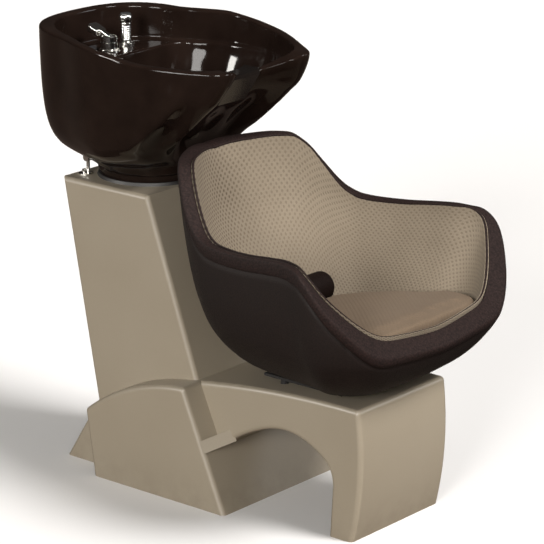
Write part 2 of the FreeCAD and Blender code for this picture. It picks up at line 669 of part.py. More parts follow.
# Each row is one height, then the outline from the middle of the back round to the neck notch.
# Heights are shares of the basin's height, x of its half width and y of its half length.
hullShares = [
    (0.00, [(0.000, 0.682), (0.195, 0.640), (0.287, 0.585), (0.350, 0.520), (0.450, 0.395), (0.496, 0.260),
            (0.485, 0.130), (0.425, 0.010), (0.350, -0.062), (0.270, -0.100), (0.200, -0.122), (0.130, -0.132),
            (0.065, -0.136), (0.000, -0.137)]),
    (0.075, [(0.000, 0.745), (0.270, 0.700), (0.390, 0.642), (0.475, 0.560), (0.570, 0.425), (0.615, 0.262),
             (0.590, 0.120), (0.515, -0.010), (0.420, -0.085), (0.330, -0.122), (0.245, -0.142), (0.160, -0.150),
             (0.080, -0.153), (0.000, -0.154)]),
    (0.155, [(0.000, 0.895), (0.400, 0.845), (0.560, 0.745), (0.640, 0.632), (0.710, 0.478), (0.795, 0.230),
             (0.780, 0.055), (0.705, -0.065), (0.610, -0.140), (0.515, -0.185), (0.410, -0.200), (0.300, -0.188),
             (0.155, -0.182), (0.000, -0.180)]),
    (0.235, [(0.000, 0.965), (0.450, 0.900), (0.625, 0.785), (0.710, 0.650), (0.775, 0.495), (0.890, 0.195),
             (0.900, 0.035), (0.850, -0.080), (0.740, -0.180), (0.610, -0.240), (0.490, -0.270), (0.365, -0.235),
             (0.180, -0.218), (0.000, -0.212)]),
    (0.300, [(0.000, 0.995), (0.470, 0.925), (0.645, 0.808), (0.735, 0.665), (0.797, 0.508), (0.925, 0.200),
             (0.940, -0.050), (0.905, -0.145), (0.822, -0.240), (0.650, -0.305), (0.518, -0.355), (0.405, -0.285),
             (0.200, -0.265), (0.000, -0.258)]),
    (0.415, [(0.000, 1.020), (0.482, 0.950), (0.662, 0.830), (0.752, 0.683), (0.812, 0.523), (0.945, 0.210),
             (0.962, -0.080), (0.940, -0.240), (0.910, -0.370), (0.680, -0.420), (0.528, -0.495), (0.425, -0.390),
             (0.205, -0.368), (0.000, -0.358)]),
    (0.545, [(0.000, 1.037), (0.490, 0.965), (0.672, 0.842), (0.763, 0.695), (0.820, 0.535), (0.955, 0.215),
             (0.974, -0.083), (0.956, -0.262), (0.895, -0.505), (0.700, -0.550), (0.530, -0.645), (0.412, -0.550),
             (0.205, -0.510), (0.000, -0.495)]),
    (0.675, [(0.000, 1.046), (0.494, 0.973), (0.677, 0.848), (0.769, 0.701), (0.824, 0.542), (0.964, 0.221),
             (0.986, -0.083), (0.970, -0.266), (0.865, -0.570), (0.720, -0.660), (0.528, -0.790), (0.390, -0.705),
             (0.190, -0.600), (0.000, -0.578)]),
    (0.890, [(0.000, 1.056), (0.496, 0.980), (0.681, 0.853), (0.774, 0.706), (0.826, 0.551), (0.975, 0.226),
             (1.000, -0.083), (0.984, -0.266), (0.859, -0.523), (0.690, -0.752), (0.516, -0.893), (0.383, -0.860),
             (0.200, -0.705), (0.000, -0.640)]),
    (1.100, [(0.000, 1.058), (0.497, 0.982), (0.682, 0.855), (0.775, 0.707), (0.826, 0.551), (0.976, 0.227),
             (1.000, -0.083), (0.984, -0.266), (0.859, -0.523), (0.690, -0.752), (0.516, -0.893), (0.383, -0.860),
             (0.200, -0.705), (0.000, -0.640)]),
]

# The bowl inside, from its floor to above the rim.
bowlShares = [
    (0.105, [(0.000, 0.420), (0.120, 0.410), (0.210, 0.370), (0.260, 0.310), (0.280, 0.240), (0.275, 0.170),
             (0.250, 0.110), (0.205, 0.065), (0.160, 0.035), (0.120, 0.018), (0.080, 0.006), (0.040, 0.001),
             (0.000, 0.000)]),
    (0.190, [(0.000, 0.452), (0.250, 0.445), (0.400, 0.395), (0.490, 0.310), (0.540, 0.190), (0.545, 0.060),
             (0.515, -0.020), (0.450, -0.080), (0.370, -0.115), (0.290, -0.135), (0.200, -0.140), (0.100, -0.141),
             (0.000, -0.141)]),
    (0.350, [(0.000, 0.465), (0.340, 0.458), (0.560, 0.395), (0.655, 0.270), (0.705, 0.130), (0.715, -0.050),
             (0.690, -0.170), (0.600, -0.255), (0.490, -0.290), (0.370, -0.278), (0.255, -0.255), (0.130, -0.242),
             (0.000, -0.238)]),
    (0.545, [(0.000, 0.490), (0.385, 0.482), (0.640, 0.425), (0.745, 0.300), (0.810, 0.150), (0.828, -0.067),
             (0.805, -0.220), (0.695, -0.390), (0.575, -0.450), (0.430, -0.450), (0.305, -0.415), (0.160, -0.400),
             (0.000, -0.393)]),
    (0.755, [(0.000, 0.505), (0.400, 0.500), (0.690, 0.455), (0.805, 0.330), (0.880, 0.170), (0.905, -0.083),
             (0.885, -0.250), (0.772, -0.487), (0.615, -0.680), (0.455, -0.735), (0.325, -0.680), (0.170, -0.575),
             (0.000, -0.545)]),
    (1.120, [(0.000, 0.510), (0.400, 0.505), (0.700, 0.460), (0.815, 0.335), (0.885, 0.175), (0.910, -0.083),
             (0.890, -0.250), (0.777, -0.490), (0.620, -0.690), (0.462, -0.765), (0.335, -0.705), (0.178, -0.600),
             (0.000, -0.560)]),
]

# The shelf behind the bowl that carries the mixer, down to the deck.
shelfShares = [
    (0.000, 0.972), (0.430, 0.890), (0.665, 0.655), (0.728, 0.510), (0.882, 0.200), (0.905, -0.030),
    (0.880, -0.200), (0.760, -0.400), (0.600, -0.500), (0.440, -0.540), (0.300, -0.500), (0.150, -0.440),
    (0.000, -0.420),
]

# The rim's height from the back to the horns, as shares of the half length and of the basin's height.
rimShares = [(1.20, 1.006), (1.05, 1.004), (0.70, 0.995), (0.55, 0.987), (0.23, 0.984), (0.06, 0.968),
             (-0.11, 0.948), (-0.25, 0.926), (-0.39, 0.913), (-0.52, 0.903), (-0.65, 0.893), (-0.76, 0.886),
             (-0.90, 0.882), (-1.10, 0.880)]

# The neck notch across the front, as shares of the half width and of its depth below the horns.
notchShares = [(0.00, 1.00), (0.12, 0.97), (0.24, 0.72), (0.36, 0.30), (0.46, 0.04), (0.56, -0.25)]

basinHeight = v.basin_top - v.basin_floor
loftStepShare = 0.1


def basinPoints(level, shares):
    z = v.basin_floor + level * basinHeight
    return [Vector(x * v.basin_halfwidth, y * v.basin_halflength, z) for x, y in shares]


# A value between rows, by a cubic whose slopes never pass beyond the rows' own values.
def between(levels, values, level):
    steps = [(values[i + 1] - values[i]) / (levels[i + 1] - levels[i]) for i in range(len(levels) - 1)]
    slopes = [steps[0]]
    for before, after in zip(steps, steps[1:]):
        slopes.append(2 * before * after / (before + after) if before * after > 0 else 0.0)
    slopes.append(steps[-1])
    index = max(i for i in range(len(steps)) if levels[i] <= level or i == 0)
    width = levels[index + 1] - levels[index]
    t = (level - levels[index]) / width
    start, end = values[index], values[index + 1]
    rise = t * t * (3 - 2 * t)
    bend = t * (1 - t) * ((1 - t) * slopes[index] - t * slopes[index + 1]) * width
    return start + (end - start) * rise + bend


# The rows are resampled at even heights so that the smooth loft doesn't swing between them.
def evenRows(rows):
    levels = [level for level, shares in rows]
    count = round((levels[-1] - levels[0]) / loftStepShare)
    outlines = []
    for step in range(count + 1):
        level = levels[0] + (levels[-1] - levels[0]) * step / count
        shares = [(between(levels, [row[1][i][0] for row in rows], level),
                   between(levels, [row[1][i][1] for row in rows], level)) for i in range(len(rows[0][1]))]
        outlines.append(basinPoints(level, shares))
    return outlines


# Everything above the rim's line, to be cut away from a basin that was made too tall.
def aboveRim(lift=0):
    points = [side(y * v.basin_halflength, v.basin_floor + z * basinHeight + lift) for y, z in rimShares]
    curve = Part.BSplineCurve()
    curve.interpolate(points)
    top = v.basin_top + basinHeight
    back = side(points[0].y, top)
    front = side(points[-1].y, top)
    wire = Part.Wire([curve.toShape(), line(points[-1], front), line(front, back), line(back, points[0])])
    return spread(wire, 2 * v.basin_halfwidth)


def hornHeight():
    return v.basin_floor + rimShares[-2][1] * basinHeight


def neckNotch():
    depth = hornHeight() - v.notch_height
    half = [Vector(x * v.basin_halfwidth, 0, hornHeight() - drop * depth) for x, drop in notchShares]
    points = [Vector(-point.x, 0, point.z) for point in half[:0:-1]] + half
    curve = Part.BSplineCurve()
    curve.interpolate(points)
    roof = v.basin_top + v.overrun
    left = Vector(points[0].x, 0, roof)
    right = Vector(points[-1].x, 0, roof)
    wire = Part.Wire([curve.toShape(), line(points[-1], right), line(right, left), line(left, points[0])])
    return Part.Face(wire).extrude(Vector(0, -2 * v.basin_halflength, 0))


def hoseWay(radius):
    low = Vector(0, v.hose_way_y, v.ball_floor)
    high = Vector(0, v.mixer_y - v.tail_spacing, v.cavity_floor + 2 * v.hose_way_radius)
    return Part.makeCylinder(radius, (high - low).Length, low, high - low)


def makeBasin():
    hull = halfLoft(evenRows(hullShares))
    zone = Part.makeSphere(v.ball_radius, Vector(0, v.ball_y, v.ball_z))
    keep = Part.makeBox(v.ball_radius, 2 * v.ball_radius, v.basin_floor + v.overrun - v.ball_floor,
                        Vector(0, v.ball_y - v.ball_radius, v.ball_floor))
    bowl = halfLoft(evenRows(bowlShares))
    deckLevel = (v.deck_height - v.basin_floor) / basinHeight
    shelf = halfLoft([basinPoints(level, shelfShares) for level in (deckLevel, bowlShares[-1][0])])
    pocketUnder = Part.makeCylinder(v.ball_bore, v.ball_roof - v.ball_floor + v.overrun,
                                    Vector(0, v.ball_y, v.ball_floor - v.overrun))
    waste = Part.makeCylinder(v.waste_radius, 2 * v.ball_radius, Vector(0, v.ball_y, v.ball_floor))
    cavity = Part.makeBox(2 * v.cavity_halfwidth, v.cavity_rear - v.cavity_front, v.cavity_roof - v.cavity_floor,
                          Vector(-v.cavity_halfwidth, v.cavity_front, v.cavity_floor))
    cavity = cavity.makeFillet(v.hose_way_radius / 2, cavity.Edges)
    shank = Part.makeCylinder(v.shank_radius + v.bolt_gap, 2 * v.shank_length,
                              Vector(0, v.mixer_y, v.deck_height - v.shank_length))
    half = hull
    for tool in (aboveRim(), neckNotch(), bowl, shelf, cavity, hoseWay(v.hose_way_radius), shank):
        half = half.cut(tool)
    half = half.fuse(zone.common(keep)).cut([pocketUnder, waste])
    showerHole = Part.makeCylinder(v.holder_spigot + v.free_gap, 2 * v.shank_length,
                                   Vector(v.shower_x, v.mixer_y, v.deck_height - v.shank_length))
    return bothSides(half).cut([showerHole, neckBlock(v.seat_gap)])


# The block of the front wall that the neck rest fills, from its outer face over the notch to the bowl.
def neckBlock(grow):
    outline = polygon([
        side(-v.neck_outer_foot, v.neck_outer_low),
        side(-v.neck_outer_brow, v.notch_height),
        side(-v.neck_outer_brow, v.notch_height + v.neck_block_rise),
        side(-v.neck_inner_brow, v.notch_height + v.neck_block_rise),
        side(-v.neck_inner_brow, v.notch_height),
        side(-v.neck_inner_foot, v.neck_inner_low),
    ])
    return spread(outline.makeOffset2D(grow, 2) if grow else outline, v.neck_halfwidth + grow)


def makeNeckRest():
    over = neckNotch()
    over.translate(Vector(0, 0, v.neck_thickness))
    return neckBlock(0).cut(over)


# Collar and waste

# A turned body: corners as radius and height, revolved about the upright axis.
def turned(name, corners, x="0", y="0"):
    body = newBody(name)
    sketch = sketchOn(body, name + "_profile", "XZ_Plane")
    count = len(corners)
    turns = [2 * math.pi * index / count for index in range(count)]
    points = [Vector(math.cos(turn), math.sin(turn), 0) for turn in turns]
    for index in range(count):
        sketch.addGeometry(Part.LineSegment(points[index], points[(index + 1) % count]), False)
    for index in range(count):
        sketch.addConstraint(Sketcher.Constraint("Coincident", index, 2, (index + 1) % count, 1))
    for index, (radius, height) in enumerate(corners):
        dimension(sketch, "DistanceX", (-1, 1, index, 1), radius, f"r{index}")
        dimension(sketch, "DistanceY", (-1, 1, index, 1), height, f"z{index}")
    turn = body.newObject("PartDesign::Revolution", name + "_turn")
    turn.Profile = sketch
    turn.ReferenceAxis = (sketch, ["V_Axis"])
    turn.Angle = 360
    return place(body, x, y)


def tubeProfile(outer, inner, low, high):
    return [(inner, low), (outer, low), (outer, high), (inner, high)]


def makeCollar():
    drop = "column_height - collar_drop"
    top = "column_height + collar_rise"
    ring = turned("CollarRing", [
        ("head_bore", drop), ("collar_spigot", drop), ("collar_spigot", "column_height"),
        ("collar_flange_low", "column_height"), ("collar_flange_high", top), ("head_bore", top)], "0", "ball_y")
    return cut("Collar", ring, ball("CollarSeat", "ball_radius + collar_gap", "0", "ball_y", "ball_z"))


def makeWasteFlange():
    top = "flange_base + flange_thickness"
    return turned("WasteFlange", [
        ("waste_tube_bore", "waste_tube_foot"), ("waste_tube_radius", "waste_tube_foot"),
        ("waste_tube_radius", "flange_base"), ("flange_radius", "flange_base"),
        ("flange_radius - flange_thickness", top), ("waste_tube_bore", top)], "0", "ball_y")


def makeTailpiece():
    return turned("Tailpiece", [
        ("tailpiece_bore", "tailpiece_foot"), ("tailpiece_radius", "tailpiece_foot"),
        ("tailpiece_radius", "union_foot"), ("union_radius", "union_foot"), ("union_radius", "union_head"),
        ("waste_tube_radius", "union_head"), ("waste_tube_radius", "union_foot + union_floor"),
        ("tailpiece_bore", "union_foot + union_floor")], "0", "ball_y")


def makeStrainer():
    top = "flange_base + flange_thickness"
    low = top + " - strainer_depth"
    cup = turned("StrainerCup", [
        ("0", low), ("strainer_body", low), ("strainer_body", top), ("strainer_radius", top),
        ("strainer_radius", top + " + strainer_wall"),
        ("strainer_body - strainer_wall", top + " + strainer_wall"),
        ("strainer_body - strainer_wall", low + " + strainer_wall"),
        ("strainer_knob_radius", low + " + strainer_wall"),
        ("strainer_knob_radius", low + " + strainer_knob_height"), ("0", low + " + strainer_knob_height"),
    ], "0", "ball_y")
    ringAngles = [index * math.pi / 4 for index in range(8)]
    holes = [Part.makeCylinder(
        v.strainer_hole, 2 * v.strainer_wall + v.overrun,
        Vector(v.strainer_ring * math.cos(angle), v.ball_y + v.strainer_ring * math.sin(angle),
               v.flange_base - v.strainer_depth - v.strainer_wall)) for angle in ringAngles]
    return cut("Strainer", cup, shaped("StrainerHoles", Part.makeCompound(holes)))


def makeCup():
    outer = "cup_bore + cup_wall"
    floor = "cup_floor - cup_wall"
    return turned("WasteCup", [
        ("drain_radius", "cup_socket_foot"), ("cup_socket", "cup_socket_foot"), ("cup_socket", floor),
        (outer, floor), (outer, "cup_rim"), ("cup_bore", "cup_rim"), ("cup_bore", "cup_floor"),
        ("drain_radius", "cup_floor")], "0", "ball_y")


def makeTrap():
    reach = 2 * v.trap_bend
    ys = [v.ball_y, v.ball_y - reach, v.ball_y - 2 * reach]
    route = [side(ys[0], v.cup_floor), side(ys[0], v.trap_low), side(ys[1], v.trap_low), side(ys[1], v.trap_high),
             side(ys[2], v.trap_high), side(ys[2], v.trap_end)]
    path = runsAndArcs(route, v.trap_bend - v.running_gap)
    return pipe(path, v.drain_radius).cut(pipe(path, v.drain_bore))


def makeDrain():
    y = "ball_y - 4 * trap_bend"
    end = "trap_end"
    low = end + " - drain_socket_length / 2"
    high = end + " + drain_socket_length / 2"
    return turned("WastePipe", [
        ("drain_bore", "drain_foot"), ("drain_radius", "drain_foot"), ("drain_radius", low),
        ("drain_socket", low), ("drain_socket", high), ("drain_radius", high), ("drain_radius", end),
        ("drain_bore", end)], "0", y)


# Supply

def inletTails():
    low = "drain_foot"
    top = "valve_height - valve_length / 2"
    return group("InletTails", [
        turned(name, tubeProfile("inlet_radius", "inlet_radius - inlet_port_gap", low, top), x, "inlet_y")
        for name, x in (("InletCold", "-inlet_x"), ("InletHot", "inlet_x"))])


def stopValve(name, x):
    half = "valve_length / 2"
    body = turned(name + "Body", tubeProfile(
        "valve_body", "hose_radius - inlet_port_gap", "valve_height - " + half, "valve_height + " + half),
        x, "inlet_y")
    boss = rod(name + "Boss", "valve_stem_radius * 2", "valve_body", x, "inlet_y", "valve_height", "Y")
    core = rod(name + "Core", "hose_radius - inlet_port_gap", "valve_length", x, "inlet_y",
               "valve_height - " + half)
    return cut(name, fuse(name + "Solid", body, boss), core)


# The lever starts beyond the boss, with its stem on the boss's axis.
def valveLever(name, x):
    face = "inlet_y + valve_body"
    stem = rod(name + "Stem", "valve_stem_radius", "valve_stem_length", x, face, "valve_height", "Y")
    arm = block(name + "Arm", "valve_lever_width", "valve_lever_thickness", "valve_lever_length",
                f"{x} - valve_lever_width / 2", face + " + valve_stem_length - valve_lever_thickness",
                "valve_height - valve_lever_width / 2")
    return fuse(name, stem, arm)


def makeHose(hand):
    route = [
        Vector(hand * v.inlet_x, v.inlet_y, v.valve_height + v.valve_length / 2),
        Vector(hand * v.inlet_x, v.inlet_y, v.hose_rise),
        Vector(hand * v.hose_cross_x, v.hose_cross_y, v.hose_cross),
        Vector(hand * v.tail_spacing, v.mixer_y, v.hose_turn),
        Vector(hand * v.tail_spacing, v.mixer_y, v.deck_height - v.shank_length - v.tail_length),
    ]
    path = runsAndArcs(route, v.hose_bend)
    return pipe(path, v.hose_radius).cut(pipe(path, v.hose_radius - v.inlet_port_gap))


# Mixer and hand shower

def makeMixerBody():
    deck = "deck_height"
    top = deck + " + mixer_height"
    return turned("MixerBody", [
        ("0", deck + " - shank_length"), ("shank_radius", deck + " - shank_length"), ("shank_radius", deck),
        ("mixer_foot_radius", deck), ("mixer_foot_radius", deck + " + mixer_foot_height / 2"),
        ("mixer_radius", deck + " + mixer_foot_height"), ("mixer_radius", top), ("0", top)], "0", "mixer_y")


def makeMixerNut():
    roof = "cavity_roof"
    return turned("MixerNut", tubeProfile(
        "mixer_nut_radius", "shank_radius", roof + " - mixer_nut_height", roof), "0", "mixer_y")


def makeTails():
    foot = "deck_height - shank_length - tail_length"
    return group("MixerTails", [
        rod(name, "tail_radius", "tail_length", x, "mixer_y", foot)
        for name, x in (("TailCold", "-tail_spacing"), ("TailHot", "tail_spacing"))])


# The cap turns on the body and is slotted so that the lever can lift in it.
def makeMixerCap():
    base = "deck_height + mixer_height + running_gap"
    top = base + " + cap_height"
    drum = turned("CapDrum", [
        ("0", base), ("cap_radius", base), ("cap_radius", top + " - lever_round"),
        ("cap_radius - lever_round", top), ("0", top)], "0", "mixer_y")
    slot = block("CapSlot", "2 * cap_slot", "2 * cap_radius + lever_root", "cap_height + overrun", "-cap_slot",
                 "mixer_y - lever_root - cap_floor", base + " + cap_floor")
    pin = rod("CapPinHole", "lever_pin_radius + running_gap", "4 * cap_radius", "-2 * cap_radius", "mixer_y",
              "lever_pivot_height", "X")
    return cut("MixerCap", drum, slot, pin)


def makeMixerLever():
    tilt = Rotation(Vector(1, 0, 0), v.lever_angle - 90)
    handle = Part.makeCone(v.lever_root, v.lever_tip, v.lever_length)
    handle = handle.fuse(Part.makeSphere(v.lever_root))
    handle = roundEdges(handle, v.lever_round, lambda edge: edge.BoundBox.ZMin > v.lever_length / 2)
    handle.Placement = Placement(Vector(0, v.mixer_y, v.lever_pivot_height), tilt)
    pin = rod("LeverPin", "lever_pin_radius", "2 * cap_radius", "-cap_radius", "mixer_y", "lever_pivot_height",
              "X")
    return fuse("MixerLever", shaped("LeverHandle", handle), pin)


def makeHolder():
    bore = "shower_radius + running_gap"
    return turned("ShowerHolder", [
        (bore, "cavity_roof"), ("holder_spigot", "cavity_roof"), ("holder_spigot", "deck_height"),
        ("holder_radius", "deck_height"), ("holder_radius - free_gap", "deck_height + holder_height"),
        (bore, "deck_height + holder_height")], "shower_x", "mixer_y")


def makeShower():
    ring = "deck_height + holder_height"
    return turned("HandShower", [
        ("0", "shower_foot"), ("shower_radius", "shower_foot"), ("shower_radius", ring), ("shower_ring", ring),
        ("shower_ring", ring + " + shower_ring_height"), ("shower_radius", ring + " + shower_ring_height"),
        ("shower_radius", "shower_top"), ("shower_head_radius", "shower_top + free_gap"),
        ("shower_head_radius", "shower_top + shower_head_height"), ("0", "shower_top + shower_head_height"),
    ], "shower_x", "mixer_y")


def makeFace():
    base = "shower_top + shower_head_height"
    return turned("SprayFace", [
        ("0", base), ("face_radius", base), ("face_radius - free_gap", base + " + face_thickness"),
        ("0", base + " + face_thickness")], "shower_x", "mixer_y")


# Tilt rod

def makeRod():
    stem = rod("RodStem", "rod_radius", "rod_pivot_height - rod_foot", "-rod_x", "rod_y", "rod_foot")
    eye = rod("RodEye", "rod_eye_radius", "rod_eye_thickness", "-rod_x - rod_eye_thickness / 2", "rod_y",
              "rod_pivot_height", "X")
    hole = rod("RodHole", "rod_pin_radius + running_gap", "2 * overrun", "-rod_x - overrun", "rod_y",
               "rod_pivot_height", "X")
    return cut("TiltRod", fuse("RodSolid", stem, eye), hole)


def makeLug(basin):
    inner = v.rod_eye_thickness / 2 + v.lug_gap
    height = v.lug_top + v.overrun - v.rod_pivot_height
    cheeks = []
    for hand in (-1, 1):
        left = inner if hand > 0 else -inner - v.lug_thickness
        start = Vector(-v.rod_x + left, v.rod_y - v.lug_halfwidth, v.rod_pivot_height)
        plate = Part.makeBox(v.lug_thickness, 2 * v.lug_halfwidth, height, start)
        tip = Part.makeCylinder(v.lug_halfwidth, v.lug_thickness,
                                Vector(-v.rod_x + left, v.rod_y, v.rod_pivot_height), Vector(1, 0, 0))
        cheeks.append(plate.fuse(tip))
    pinStart = Vector(-v.rod_x - inner - v.lug_thickness, v.rod_y, v.rod_pivot_height)
    pin = Part.makeCylinder(v.rod_pin_radius, 2 * (inner + v.lug_thickness), pinStart, Vector(1, 0, 0))
    return cheeks[0].fuse([cheeks[1], pin]).cut(basin.translated(side(0, -v.seat_gap)))


def makeRodFlange():
    radius = v.rod_flange_radius
    disc = Part.makeCylinder(radius, v.rod_flange_thickness, Vector(-v.rod_flange_x, v.rod_y, v.column_height))
    return disc.cut([rodSlot(v.column_height - v.overrun, 2 * v.overrun), wingHole(v.running_gap)])


def wingHole(grow=0):
    return Part.makeCylinder(v.wing_stem_radius + grow, v.wing_stem_height,
                             Vector(-v.wing_x, v.wing_y, v.column_height))


def makeWing():
    x = -v.wing_x
    y = v.wing_y
    base = v.column_height + v.rod_flange_thickness + v.running_gap
    stem = Part.makeCylinder(v.wing_stem_radius, v.wing_height + v.rod_flange_thickness / 2,
                             Vector(x, y, base - v.rod_flange_thickness / 2))
    boss = Part.makeCylinder(v.wing_boss_radius, v.wing_height / 2, Vector(x, y, base))
    fin = Part.makeBox(2 * v.wing_halflength, v.wing_thickness, v.wing_fin_height,
                       Vector(x - v.wing_halflength, y - v.wing_thickness / 2, base + v.wing_height / 4))
    return boss.fuse([stem, fin])


# Tub seat

# Levels as shares of the seat's height, then the tub's back, front and half width as shares.
tubShares = [
    (0.000, 0.290, 0.760, 0.366), (0.040, 0.217, 0.842, 0.534), (0.107, 0.163, 0.908, 0.686),
    (0.195, 0.115, 0.955, 0.817), (0.284, 0.086, 0.985, 0.899), (0.454, 0.050, 0.997, 0.970),
    (0.697, 0.018, 1.010, 1.015), (0.890, 0.000, 1.024, 1.030), (1.100, -0.006, 1.032, 1.040),
]
cavityShares = [
    (0.149, 0.350, 0.862, 0.560), (0.216, 0.312, 0.903, 0.625), (0.371, 0.217, 0.938, 0.738),
    (0.549, 0.144, 0.949, 0.846), (0.727, 0.093, 0.959, 0.920), (0.993, 0.057, 0.966, 0.928),
    (1.100, 0.054, 0.974, 0.928),
]
# The tub's plan from the back round to the front, as shares of its half width and length.
planShares = [
    (0.00, 0.000), (0.27, 0.043), (0.445, 0.094), (0.635, 0.173), (0.76, 0.265), (0.81, 0.350), (0.865, 0.510),
    (0.895, 0.630), (0.93, 0.715), (0.975, 0.776), (0.984, 0.820), (0.915, 0.888), (0.735, 0.963), (0.50, 0.985),
    (0.00, 1.000),
]
# The opening's edge from the back to the front as shares of the half width, length and height,
# with how far the rim falls outwards there. A minus rises towards the outer edge.
seatRimShares = [
    (0.000, 0.057, 0.980, -0.14), (0.244, 0.095, 0.996, -0.14), (0.402, 0.140, 1.002, -0.12),
    (0.492, 0.172, 0.998, -0.08), (0.573, 0.210, 0.947, -0.05), (0.634, 0.249, 0.856, -0.05),
    (0.686, 0.291, 0.765, -0.08), (0.707, 0.329, 0.718, -0.12), (0.732, 0.367, 0.696, -0.15),
    (0.747, 0.424, 0.691, -0.15), (0.784, 0.511, 0.698, -0.15), (0.814, 0.614, 0.717, -0.13),
    (0.851, 0.689, 0.729, -0.06), (0.895, 0.742, 0.729, 0.08), (0.902, 0.780, 0.705, 0.25),
    (0.838, 0.841, 0.578, 0.45), (0.758, 0.881, 0.489, 0.6), (0.668, 0.908, 0.423, 0.8),
    (0.549, 0.923, 0.384, 0.95), (0.000, 0.940, 0.343, 1.1),
]
# How far the rim's surface runs each way from the opening's edge, as shares of its distance from the axis.
rimReachShares = (0.5, 0.75, 1, 1.25, 1.6)
seatLength = v.seat_front - v.seat_back
seatHeight = v.seat_top - v.seat_bottom


def tubOutline(z, back, front, halfwidth):
    return [Vector(x * halfwidth, -back - y * (front - back), z) for x, y in planShares]


# One half of the tub's outside, or of its hollow, moved inwards by a distance all round.
def halfTub(rows, inwards=0, lift=0):
    levels = [row[0] for row in rows]
    count = round((levels[-1] - levels[0]) / loftStepShare)
    outlines = []
    for step in range(count + 1):
        level = levels[0] + (levels[-1] - levels[0]) * step / count
        back, front, halfwidth = (between(levels, [row[i] for row in rows], level) for i in (1, 2, 3))
        outlines.append(tubOutline(
            v.seat_bottom + level * seatHeight + lift, v.seat_back + back * seatLength + inwards,
            v.seat_back + front * seatLength - inwards, halfwidth * v.seat_halfwidth - inwards))
    return halfLoft(outlines)


# Everything above the seat's rim moved down by a drop. The rim runs straight outwards from a
# middle axis, so its height follows the path round the seat.
def rimSpace(drop):
    rim = [Vector(x * v.seat_halfwidth, -v.seat_back - y * seatLength, v.seat_bottom + z * seatHeight - drop)
           for x, y, z, fall in seatRimShares]
    lengths = sharedSteps(rim)
    rows = [[point.x for point in rim], [point.y for point in rim], [point.z for point in rim],
            [row[3] for row in seatRimShares]]
    count = round(lengths[-1] / v.rim_step)
    path = [[between(lengths, row, lengths[-1] * step / count) for row in rows] for step in range(count + 1)]
    path = [[-path[1][0]] + path[1][1:]] + path + [[-path[-2][0]] + path[-2][1:]]
    grid = []
    for x, y, z, fall in path:
        axis = Vector(0, -v.rim_axis_y, z)
        away = Vector(x, y, z) - axis
        grid.append([axis + away * share - Vector(0, 0, fall * away.Length * (share - 1))
                     for share in rimReachShares])
    surface = Part.BSplineSurface()
    surface.interpolate(grid)
    return surface.toShape().extrude(Vector(0, 0, v.seat_top))


def seatBoltHoles(radius, low, high):
    return [Part.makeCylinder(radius, high - low, Vector(x, y, low)) for x, y in spacerPlaces()]


# The border lies over the tub's edge with an outer leg down to its seam. The lining's bead comes
# up to the rim beside it.
def makeSeat():
    gap = v.soft_gap
    inShell = v.cover_skin + gap
    inLining = inShell + v.shell_skin + gap
    tub = halfTub(tubShares)
    tubInCover = halfTub(tubShares, v.cover_skin, v.cover_skin)
    hollow = halfTub(cavityShares)
    overRim = rimSpace(0)
    cover = tub.cut(tubInCover).cut(rimSpace(v.border_drop))
    shellInside = halfTub(tubShares, inShell + v.shell_skin, inShell + v.shell_skin)
    shell = halfTub(tubShares, inShell, inShell).cut(shellInside).cut(rimSpace(v.border_thickness + gap))
    lining = halfTub(tubShares, inLining, inLining).cut(hollow)
    bead = lining.common(halfTub(cavityShares, gap - v.bead_width)).cut(overRim)
    below = lining.cut(rimSpace(v.border_thickness + gap))
    lining = max(below.Solids, key=lambda solid: solid.Volume).fuse(bead)
    leg = tub.cut(tubInCover).cut(overRim).common(rimSpace(v.border_drop - gap))
    lid = tub.cut(halfTub(cavityShares, -v.bead_width)).cut(overRim).common(rimSpace(v.border_thickness))
    border = leg.fuse(lid)
    coverHoles = seatBoltHoles(v.seat_bolt_radius + v.free_gap, v.seat_bottom - gap,
                               v.seat_bottom + v.cover_skin + v.overrun)
    shellHoles = seatBoltHoles(v.seat_bolt_radius, v.rail_base, v.rail_base + v.seat_bolt_grip)
    return (bothSides(cover).cut(coverHoles), bothSides(shell).cut(shellHoles), bothSides(lining),
            bothSides(border))


def makeCushion():
    block = halfTub(cavityShares, v.cushion_side_gap, v.cushion_side_gap)
    tilt = math.radians(v.cushion_tilt)
    crest = side(-v.cushion_middle_y, v.cushion_middle_height)
    normal = side(math.sin(tilt), math.cos(tilt))
    dome = Part.makeSphere(v.cushion_crown_radius, crest - normal * v.cushion_crown_radius)
    half = block.common(dome)
    low = v.cushion_middle_height - v.roll_radius
    return bothSides(roundEdges(half, v.cushion_round, lambda edge: edge.CenterOfMass.x > v.cushion_round
                                and edge.CenterOfMass.z > low))


def makeRoll():
    straight = v.roll_halflength - v.roll_radius
    start = Vector(-straight, -v.roll_y, v.roll_height)
    core = Part.makeCylinder(v.roll_radius, 2 * straight, start, Vector(1, 0, 0))
    ends = [Part.makeSphere(v.roll_radius, Vector(x, -v.roll_y, v.roll_height)) for x in (-straight, straight)]
    return core.fuse(ends)


seatBoltSpots = [(x, y) for x in ("-rail_spacing", "rail_spacing")
                 for y in ("-seat_bolt_front", "-seat_bolt_rear")]


def makeSeatPlate():
    body = newBody("SeatPlate")
    outline = sketchOn(body, "SeatPlateOutline", "XY_Plane")
    rectangle(outline, "-seat_plate_halfwidth", "-seat_plate_front", "2 * seat_plate_halfwidth",
              "seat_plate_front - seat_plate_rear", "plate")
    pad(body, outline, "SeatPlatePad", "seat_plate_thickness", "seat_plate_base")
    holes = sketchOn(body, "SeatPlateHoles", "XY_Plane")
    for index, (x, y) in enumerate(seatBoltSpots):
        circle(holes, x, y, "seat_bolt_radius + bolt_gap", f"bolt_{index}")
    body.Tip = pocket(body, holes, "SeatPlatePocket")
    return body


